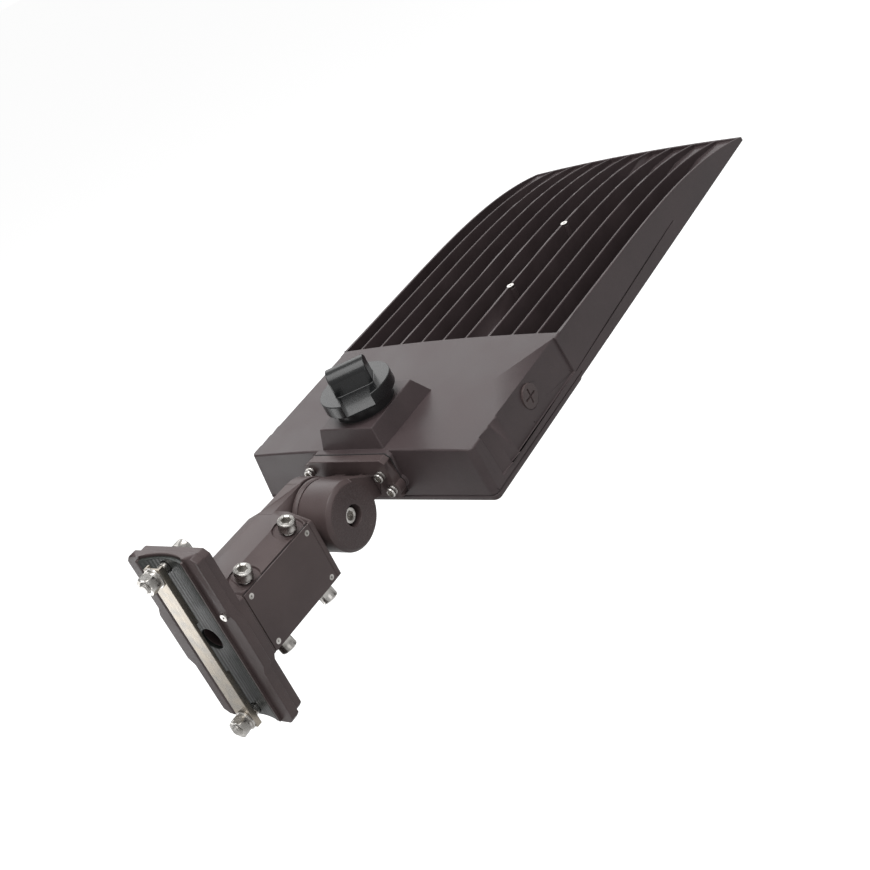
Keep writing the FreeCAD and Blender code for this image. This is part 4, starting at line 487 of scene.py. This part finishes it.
def turned(rows, pitch=M10_THREAD_PITCH, closed=False):
    """Surface of revolution on a grid: the angle one way, the profile rows (along, radius, kind) the other.

    A hexagon row's radius is divided by the cosine of the angle from the nearest flat's middle, a knurl row's
    drops at every other step, and a thread row's drops by the distance from the helix's crest.
    """
    angle = np.linspace(0.0, 2.0 * math.pi, TURN_STEPS, endpoint=False)
    along = np.array([row[0] for row in rows])[:, None] + 0.0 * angle
    radius = np.array([row[1] for row in rows])[:, None] + 0.0 * angle
    kind = np.array([row[2] for row in rows])[:, None] + 0 * angle.astype(int)
    fold = np.mod(angle + math.pi / 6, math.pi / 3) - math.pi / 6
    phase = np.mod(along / pitch - angle / (2.0 * math.pi), 1.0)
    radius = np.where(kind == HEXAGON, radius / np.cos(fold), radius)
    radius = np.where(kind == KNURL, radius - KNURL_DEPTH * (np.arange(TURN_STEPS) % 2), radius)
    radius = np.where(kind == THREAD, radius - THREAD_DEPTH_SHARE * pitch * np.abs(2.0 * phase - 1.0), radius)
    points = np.stack((radius * np.cos(angle), radius * np.sin(angle), along), axis=-1).reshape(-1, 3)
    count = len(rows)
    row, step = np.meshgrid(np.arange(count if closed else count - 1), np.arange(TURN_STEPS), indexing="ij")
    row, step = row.ravel(), step.ravel()
    after, beside = (row + 1) % count, (step + 1) % TURN_STEPS
    corners = [row * TURN_STEPS + step, row * TURN_STEPS + beside]
    corners += [after * TURN_STEPS + beside, after * TURN_STEPS + step]
    faces = np.stack(corners, axis=-1).tolist()
    if not closed:
        faces.append(list(range(TURN_STEPS)))
        faces.append(list(range((count - 1) * TURN_STEPS, count * TURN_STEPS)))
    return points, faces


def thread_rows(start, end, radius, pitch):
    """Rows close enough along the shank to draw each turn of the thread."""
    return [(z, radius, THREAD) for z in np.arange(start, end, pitch / THREAD_STEPS)]


def bolt_rows(radius, length, head_radius, head_height, flats, depth, thread_from, pitch):
    """Socket head cap screw from the socket's floor, over the knurled head, down to the tip."""
    top = -head_height
    rows = [
        (top + depth, flats / 2, HEXAGON),
        (top + EDGE_BREAK / 2, flats / 2, HEXAGON),
        (top, flats / math.sqrt(3) + EDGE_BREAK / 3, ROUND),
        (top, head_radius - 1.6 * EDGE_BREAK, ROUND),
        (top + EDGE_BREAK / 3, head_radius - EDGE_BREAK, ROUND),
        (top + 2 * EDGE_BREAK, head_radius, ROUND),
        (top + 2.4 * EDGE_BREAK, head_radius, KNURL),
        (-2.2 * EDGE_BREAK, head_radius, KNURL),
        (-1.8 * EDGE_BREAK, head_radius, ROUND),
        (-EDGE_BREAK / 2, head_radius, ROUND),
        (0.0, head_radius - EDGE_BREAK / 2, ROUND),
        (0.0, radius, ROUND),
        (thread_from, radius, ROUND),
    ]
    rows += thread_rows(thread_from + pitch / THREAD_STEPS, length - 2 * EDGE_BREAK, radius, pitch)
    rows += [
        (length - EDGE_BREAK, radius * BOLT_TIP_SHARES[0], ROUND),
        (length, radius * BOLT_TIP_SHARES[1], ROUND),
    ]
    return rows


def flat_head_rows(radius, length, head_radius, pitch):
    """Countersunk screw with a hexagon recess, thin land round the head, cone and threaded shank."""
    height = head_radius - radius
    rows = [
        (height * KEY_DEPTH_SHARE, radius * KEY_SHARE, HEXAGON),
        (FLAT_HEAD_LAND, radius * KEY_SHARE, HEXAGON),
        (0.0, radius * KEY_MOUTH_SHARE, ROUND),
        (0.0, head_radius - FLAT_HEAD_LAND, ROUND),
        (FLAT_HEAD_LAND, head_radius, ROUND),
        (2 * FLAT_HEAD_LAND, head_radius - FLAT_HEAD_LAND, ROUND),
        (height, radius, ROUND),
    ]
    rows += thread_rows(height + pitch / THREAD_STEPS, length - EDGE_BREAK, radius, pitch)
    rows += [(length, radius * FLAT_TIP_SHARE, ROUND)]
    return rows


def nut_rings(flats, height, bore):
    """Hexagon nut: both faces' corners cut back to a cone, and a chamfered bore."""
    around = len(NUT_LEVELS)
    inside = np.array((height, height - EDGE_BREAK, EDGE_BREAK, 0.0))
    rows = [(0, flats / 2, HEXAGON)] * around + [(0, bore, ROUND)] * len(inside)
    points, faces = turned(rows, closed=True)
    grid = points.reshape(len(rows), TURN_STEPS, 3)
    levels = np.array(NUT_LEVELS) * height
    limit = flats / 2 * NUT_FACE_SHARE + np.minimum(levels, height - levels) * NUT_CONE_SLOPE
    size = np.hypot(grid[:around, :, 0], grid[:around, :, 1])
    share = np.minimum(size, limit[:, None]) / size
    grid[:around, :, :2] *= share[..., None]
    grid[:around, :, 2] = levels[:, None]
    grid[around:, :, 2] = inside[:, None]
    grid[(around, -1), :, :2] *= 1.0 + EDGE_BREAK / bore
    return grid.reshape(-1, 3), faces


def washer_rows(outer, inner, thickness):
    """Flat ring with slightly rounded outer edges."""
    soft = thickness * WASHER_EDGE_SHARE
    return [
        (0.0, inner, ROUND),
        (0.0, outer - soft, ROUND),
        (soft, outer, ROUND),
        (thickness - soft, outer, ROUND),
        (thickness, outer - soft, ROUND),
        (thickness, inner, ROUND),
    ]


def split_ring(outer, inner, thickness):
    """Spring washer: a square section carried round the axis, open at a slanted cut."""
    corner = np.array(((inner, 0), (outer, 0), (outer, thickness), (inner, thickness)))
    share = np.linspace(0.0, 1.0, SPLIT_STEPS)[:, None]
    lean = SPLIT_LEAN * (corner[:, 1] / thickness - 0.5)
    angle = SPLIT_HALF_ANGLE + (2 * math.pi - 2 * SPLIT_HALF_ANGLE) * share + lean
    along = corner[:, 1] + 0 * angle
    grid = np.stack((corner[:, 0] * np.cos(angle), corner[:, 0] * np.sin(angle), along), axis=-1)
    row, side = np.meshgrid(np.arange(SPLIT_STEPS - 1), np.arange(4), indexing="ij")
    row, side = row.ravel(), side.ravel()
    beside = (side + 1) % 4
    quads = np.stack((row * 4 + side, row * 4 + beside, row * 4 + 4 + beside, row * 4 + 4 + side), axis=-1)
    last = (SPLIT_STEPS - 1) * 4
    return grid.reshape(-1, 3), quads.tolist() + [[3, 2, 1, 0], [last, last + 1, last + 2, last + 3]]


def set_along(points, seat, way):
    """Turn points drawn along +Z to the direction and move them to the seat."""
    way = np.array(way, float) / np.linalg.norm(way)
    aside = np.cross(way, (0.31, 0.2, 0.93))
    aside /= np.linalg.norm(aside)
    third = np.cross(way, aside)
    return points @ np.array((aside, third, way)) + np.array(seat)


def fastener_set(node, drawn, places):
    """One mesh with a copy of the drawn fastener at each (seat, direction); it stands for the CAD node."""
    points, faces = drawn
    all_points, all_faces = [], []
    for seat, way in places:
        first = len(all_points) * len(points)
        all_points.append(set_along(points, seat, way))
        all_faces.extend([[corner + first for corner in face] for face in faces])
    mesh = bpy.data.meshes.new(node + "_turned")
    mesh.from_pydata(np.concatenate(all_points).tolist(), [], all_faces)
    shape = bmesh.new()
    shape.from_mesh(mesh)
    bmesh.ops.recalc_face_normals(shape, faces=shape.faces)
    for face in shape.faces:
        face.smooth = True
    for edge in shape.edges:
        edge.smooth = len(edge.link_faces) == 2 and edge.calc_face_angle(0.0) < TURNED_CRISP_ANGLE
    shape.to_mesh(mesh)
    shape.free()
    mesh.materials.append(NODE_LOOKS[node])
    piece = bpy.data.objects.new(node + "_turned", mesh)
    bpy.context.collection.objects.link(piece)
    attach(piece, BODY_OF[node])
    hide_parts(node)


SADDLE_FRONT_X = 0.021024
POLE_BOLT_Z = 0.080
WEB_X = -0.009
FLAT_WASHER = 0.002
SPRING_WASHER = 0.0025
ARM_END_X = 0.126624
FACET_LEAN = math.atan2(0.0092, 0.0235)
FACET_MIDDLE = (0.02825, 0.0350)
CLAMP_X = (ARM_END_X - 0.0184, ARM_END_X - 0.0817)
CLAMP_STAND = 0.0007
PIVOT_HEAD_SEAT_Y = -0.0324
PIVOT_NUT_Y = 0.0195
FLANGE_FACE_X = -0.1903
BRACKET_BOLTS = ((-0.037, 0.0385), (-0.042, 0.022), (0.0464, 0.0444), (0.0464, 0.022))
COVER_SCREW_X = (ARM_END_X - 0.0117, ARM_END_X - 0.0929)
COVER_SCREW_Z = 0.025
COVER_FACE_Y = -0.040


def m10_bolt(length, thread_from):
    """M10 socket head bolt, drawn from its shank and head radius, head height, key width and key depth."""
    return turned(bolt_rows(0.005, length, 0.008, 0.010, 0.008, 0.005, thread_from, M10_THREAD_PITCH))


def along_pole(x):
    """The two bolts' places on the pole's line, looking into the pole."""
    return [((x, 0, z), (-1, 0, 0)) for z in (POLE_BOLT_Z, -POLE_BOLT_Z)]


m10_nut = nut_rings(0.017, 0.008, 0.00506)
flat_washer = turned(washer_rows(0.010, 0.0053, FLAT_WASHER), closed=True)
spring_washer = split_ring(0.0086, 0.0053, SPRING_WASHER)
fastener_set("pole_bolts", m10_bolt(0.045, 0.020), along_pole(SADDLE_FRONT_X))
fastener_set("pole_flat_washers", flat_washer, along_pole(WEB_X))
fastener_set("pole_spring_washers", spring_washer, along_pole(WEB_X - FLAT_WASHER))
fastener_set("pole_nuts", m10_nut, along_pole(WEB_X - FLAT_WASHER - SPRING_WASHER))

clamp_places = []
for x in CLAMP_X:
    for side in (1, -1):
        outward = np.array((0.0, -math.sin(FACET_LEAN), side * math.cos(FACET_LEAN)))
        seat = np.array((x, -FACET_MIDDLE[0], side * FACET_MIDDLE[1])) + CLAMP_STAND * outward
        clamp_places.append((seat, -outward))
fastener_set("clamp_bolts", m10_bolt(0.01474, 0.0012), clamp_places)

fastener_set("pivot_bolt", m10_bolt(0.066, 0.040), [((PIVOT[0], PIVOT_HEAD_SEAT_Y, PIVOT[2]), (0, 1, 0))])
fastener_set("pivot_nut", m10_nut, [((PIVOT[0], PIVOT_NUT_Y, PIVOT[2]), (0, 1, 0))])

bracket_bolt = bolt_rows(0.003, 0.0188, 0.005, 0.006, 0.005, 0.003, 0.004, M6_THREAD_PITCH)
bracket_places = [(lamp((FLANGE_FACE_X, y, z))[0], lamp_way((1, 0, 0))) for y, z in BRACKET_BOLTS]
fastener_set("bracket_bolts", turned(bracket_bolt, M6_THREAD_PITCH), bracket_places)

cover_screw = flat_head_rows(0.0015, 0.009, 0.0028, M3_THREAD_PITCH)
cover_places = [
    ((x, COVER_FACE_Y, z), (0, 1, 0))
    for x in COVER_SCREW_X
    for z in (COVER_SCREW_Z, -COVER_SCREW_Z)
]
fastener_set("wiring_cover_screws", turned(cover_screw, M3_THREAD_PITCH), cover_places)


# ---- camera, lights, floor ---------------------------------------------------------------------
def make_camera():
    data = bpy.data.cameras.new("camera")
    data.lens = CAMERA_LENS
    data.sensor_width = CAMERA_SENSOR
    data.clip_start = 0.05
    data.clip_end = 60.0
    camera = bpy.data.objects.new("camera", data)
    bpy.context.collection.objects.link(camera)
    columns = (CAMERA_RIGHT, [-v for v in CAMERA_DOWN], [-v for v in CAMERA_FORWARD], CAMERA_PLACE)
    matrix = [[columns[c][r] for c in range(4)] for r in range(3)] + [[0, 0, 0, 1]]
    camera.matrix_world = Matrix(matrix)
    bpy.context.scene.camera = camera


make_camera()

LIGHTS = (
    # name, place, target, size and watts
    ("top_softbox", (0.1, -0.3, 1.8), (0.35, 0.0, 0.0), (1.6, 1.6), 30.0),
    ("back_softbox", (1.7, 1.45, 1.15), (0.35, 0.0, 0.03), (2.6, 1.3), 15.0),
    ("left_softbox", (-1.8, 0.6, 1.0), (0.2, 0.0, 0.0), (1.4, 1.6), 4.0),
    ("camera_fill", (-0.6, -1.9, 0.6), (0.3, 0.0, 0.0), (1.2, 1.2), 3.5),
    ("rear_card", (-0.23, 0.60, -0.30), (0.228, 0.1, 0.0), (0.36, 0.3), 0.8),
)
FLOOR_Z = CAD_BOX[0].z - 0.25
FLOOR_HALF = 12.0
FLOOR_GREY = 0.5
FLOOR_GLOW = 0.86
ROOM_LIGHT = 0.22
GLOSSY_SHARE = 0.35


def area_light(name, place, target, size, watts):
    data = bpy.data.lights.new(name, "AREA")
    data.shape = "RECTANGLE"
    data.size, data.size_y = size
    data.energy = watts
    light = bpy.data.objects.new(name, data)
    bpy.context.collection.objects.link(light)
    direction = np.array(target) - np.array(place)
    light.location = place
    light.visible_camera = False
    light.rotation_euler = Vector(direction).to_track_quat("-Z", "Y").to_euler()


for row in LIGHTS:
    area_light(*row)


def background_share(tree, rays):
    """1 for camera and see-through rays, and GLOSSY_SHARE for mirrored ones."""
    direct = maths(tree, "MAXIMUM", rays.outputs["Is Camera Ray"], rays.outputs["Is Transmission Ray"])
    mirrored = maths(tree, "MULTIPLY", rays.outputs["Is Glossy Ray"], GLOSSY_SHARE)
    return maths(tree, "MAXIMUM", direct, mirrored)


def set_world():
    world = bpy.data.worlds.new("studio")
    bpy.context.scene.world = world
    world.use_nodes = True
    tree = world.node_tree
    tree.nodes.clear()
    out = tree.nodes.new("ShaderNodeOutputWorld")
    rays = tree.nodes.new("ShaderNodeLightPath")
    soft = tree.nodes.new("ShaderNodeBackground")
    soft.inputs["Color"].default_value = (1.0, 1.0, 1.0, 1.0)
    soft.inputs["Strength"].default_value = ROOM_LIGHT
    white = tree.nodes.new("ShaderNodeBackground")
    white.inputs["Color"].default_value = (1.0, 1.0, 1.0, 1.0)
    white.inputs["Strength"].default_value = 1.0
    mix = tree.nodes.new("ShaderNodeMixShader")
    tree.links.new(background_share(tree, rays), mix.inputs["Fac"])
    tree.links.new(soft.outputs[0], mix.inputs[1])
    tree.links.new(white.outputs[0], mix.inputs[2])
    tree.links.new(mix.outputs[0], out.inputs["Surface"])


set_world()


def make_floor():
    """A large level plane under the lamp, white from above with the lamp's soft shadow, clear from below."""
    near, far = -FLOOR_HALF, FLOOR_HALF
    corners = [(near, near, FLOOR_Z), (far, near, FLOOR_Z), (far, far, FLOOR_Z), (near, far, FLOOR_Z)]
    mesh = bpy.data.meshes.new("floor")
    mesh.from_pydata(corners, [], [(0, 1, 2, 3)])
    floor = bpy.data.objects.new("floor", mesh)
    bpy.context.collection.objects.link(floor)
    material = bpy.data.materials.new("floor_white")
    material.use_nodes = True
    tree = material.node_tree
    tree.nodes.clear()
    out = tree.nodes.new("ShaderNodeOutputMaterial")
    rays = tree.nodes.new("ShaderNodeLightPath")
    matte = tree.nodes.new("ShaderNodeBsdfDiffuse")
    matte.inputs["Color"].default_value = (FLOOR_GREY, FLOOR_GREY, FLOOR_GREY, 1.0)
    glow = tree.nodes.new("ShaderNodeEmission")
    glow.inputs["Strength"].default_value = FLOOR_GLOW
    both = tree.nodes.new("ShaderNodeAddShader")
    tree.links.new(matte.outputs[0], both.inputs[0])
    tree.links.new(glow.outputs[0], both.inputs[1])
    mix = tree.nodes.new("ShaderNodeMixShader")
    tree.links.new(background_share(tree, rays), mix.inputs["Fac"])
    tree.links.new(matte.outputs[0], mix.inputs[1])
    tree.links.new(both.outputs[0], mix.inputs[2])
    side = tree.nodes.new("ShaderNodeNewGeometry")
    clear = tree.nodes.new("ShaderNodeBsdfTransparent")
    one_sided = tree.nodes.new("ShaderNodeMixShader")
    tree.links.new(side.outputs["Backfacing"], one_sided.inputs["Fac"])
    tree.links.new(mix.outputs[0], one_sided.inputs[1])
    tree.links.new(clear.outputs[0], one_sided.inputs[2])
    tree.links.new(one_sided.outputs[0], out.inputs["Surface"])
    mesh.materials.append(material)


make_floor()

bpy.context.scene.view_settings.view_transform = "Standard"
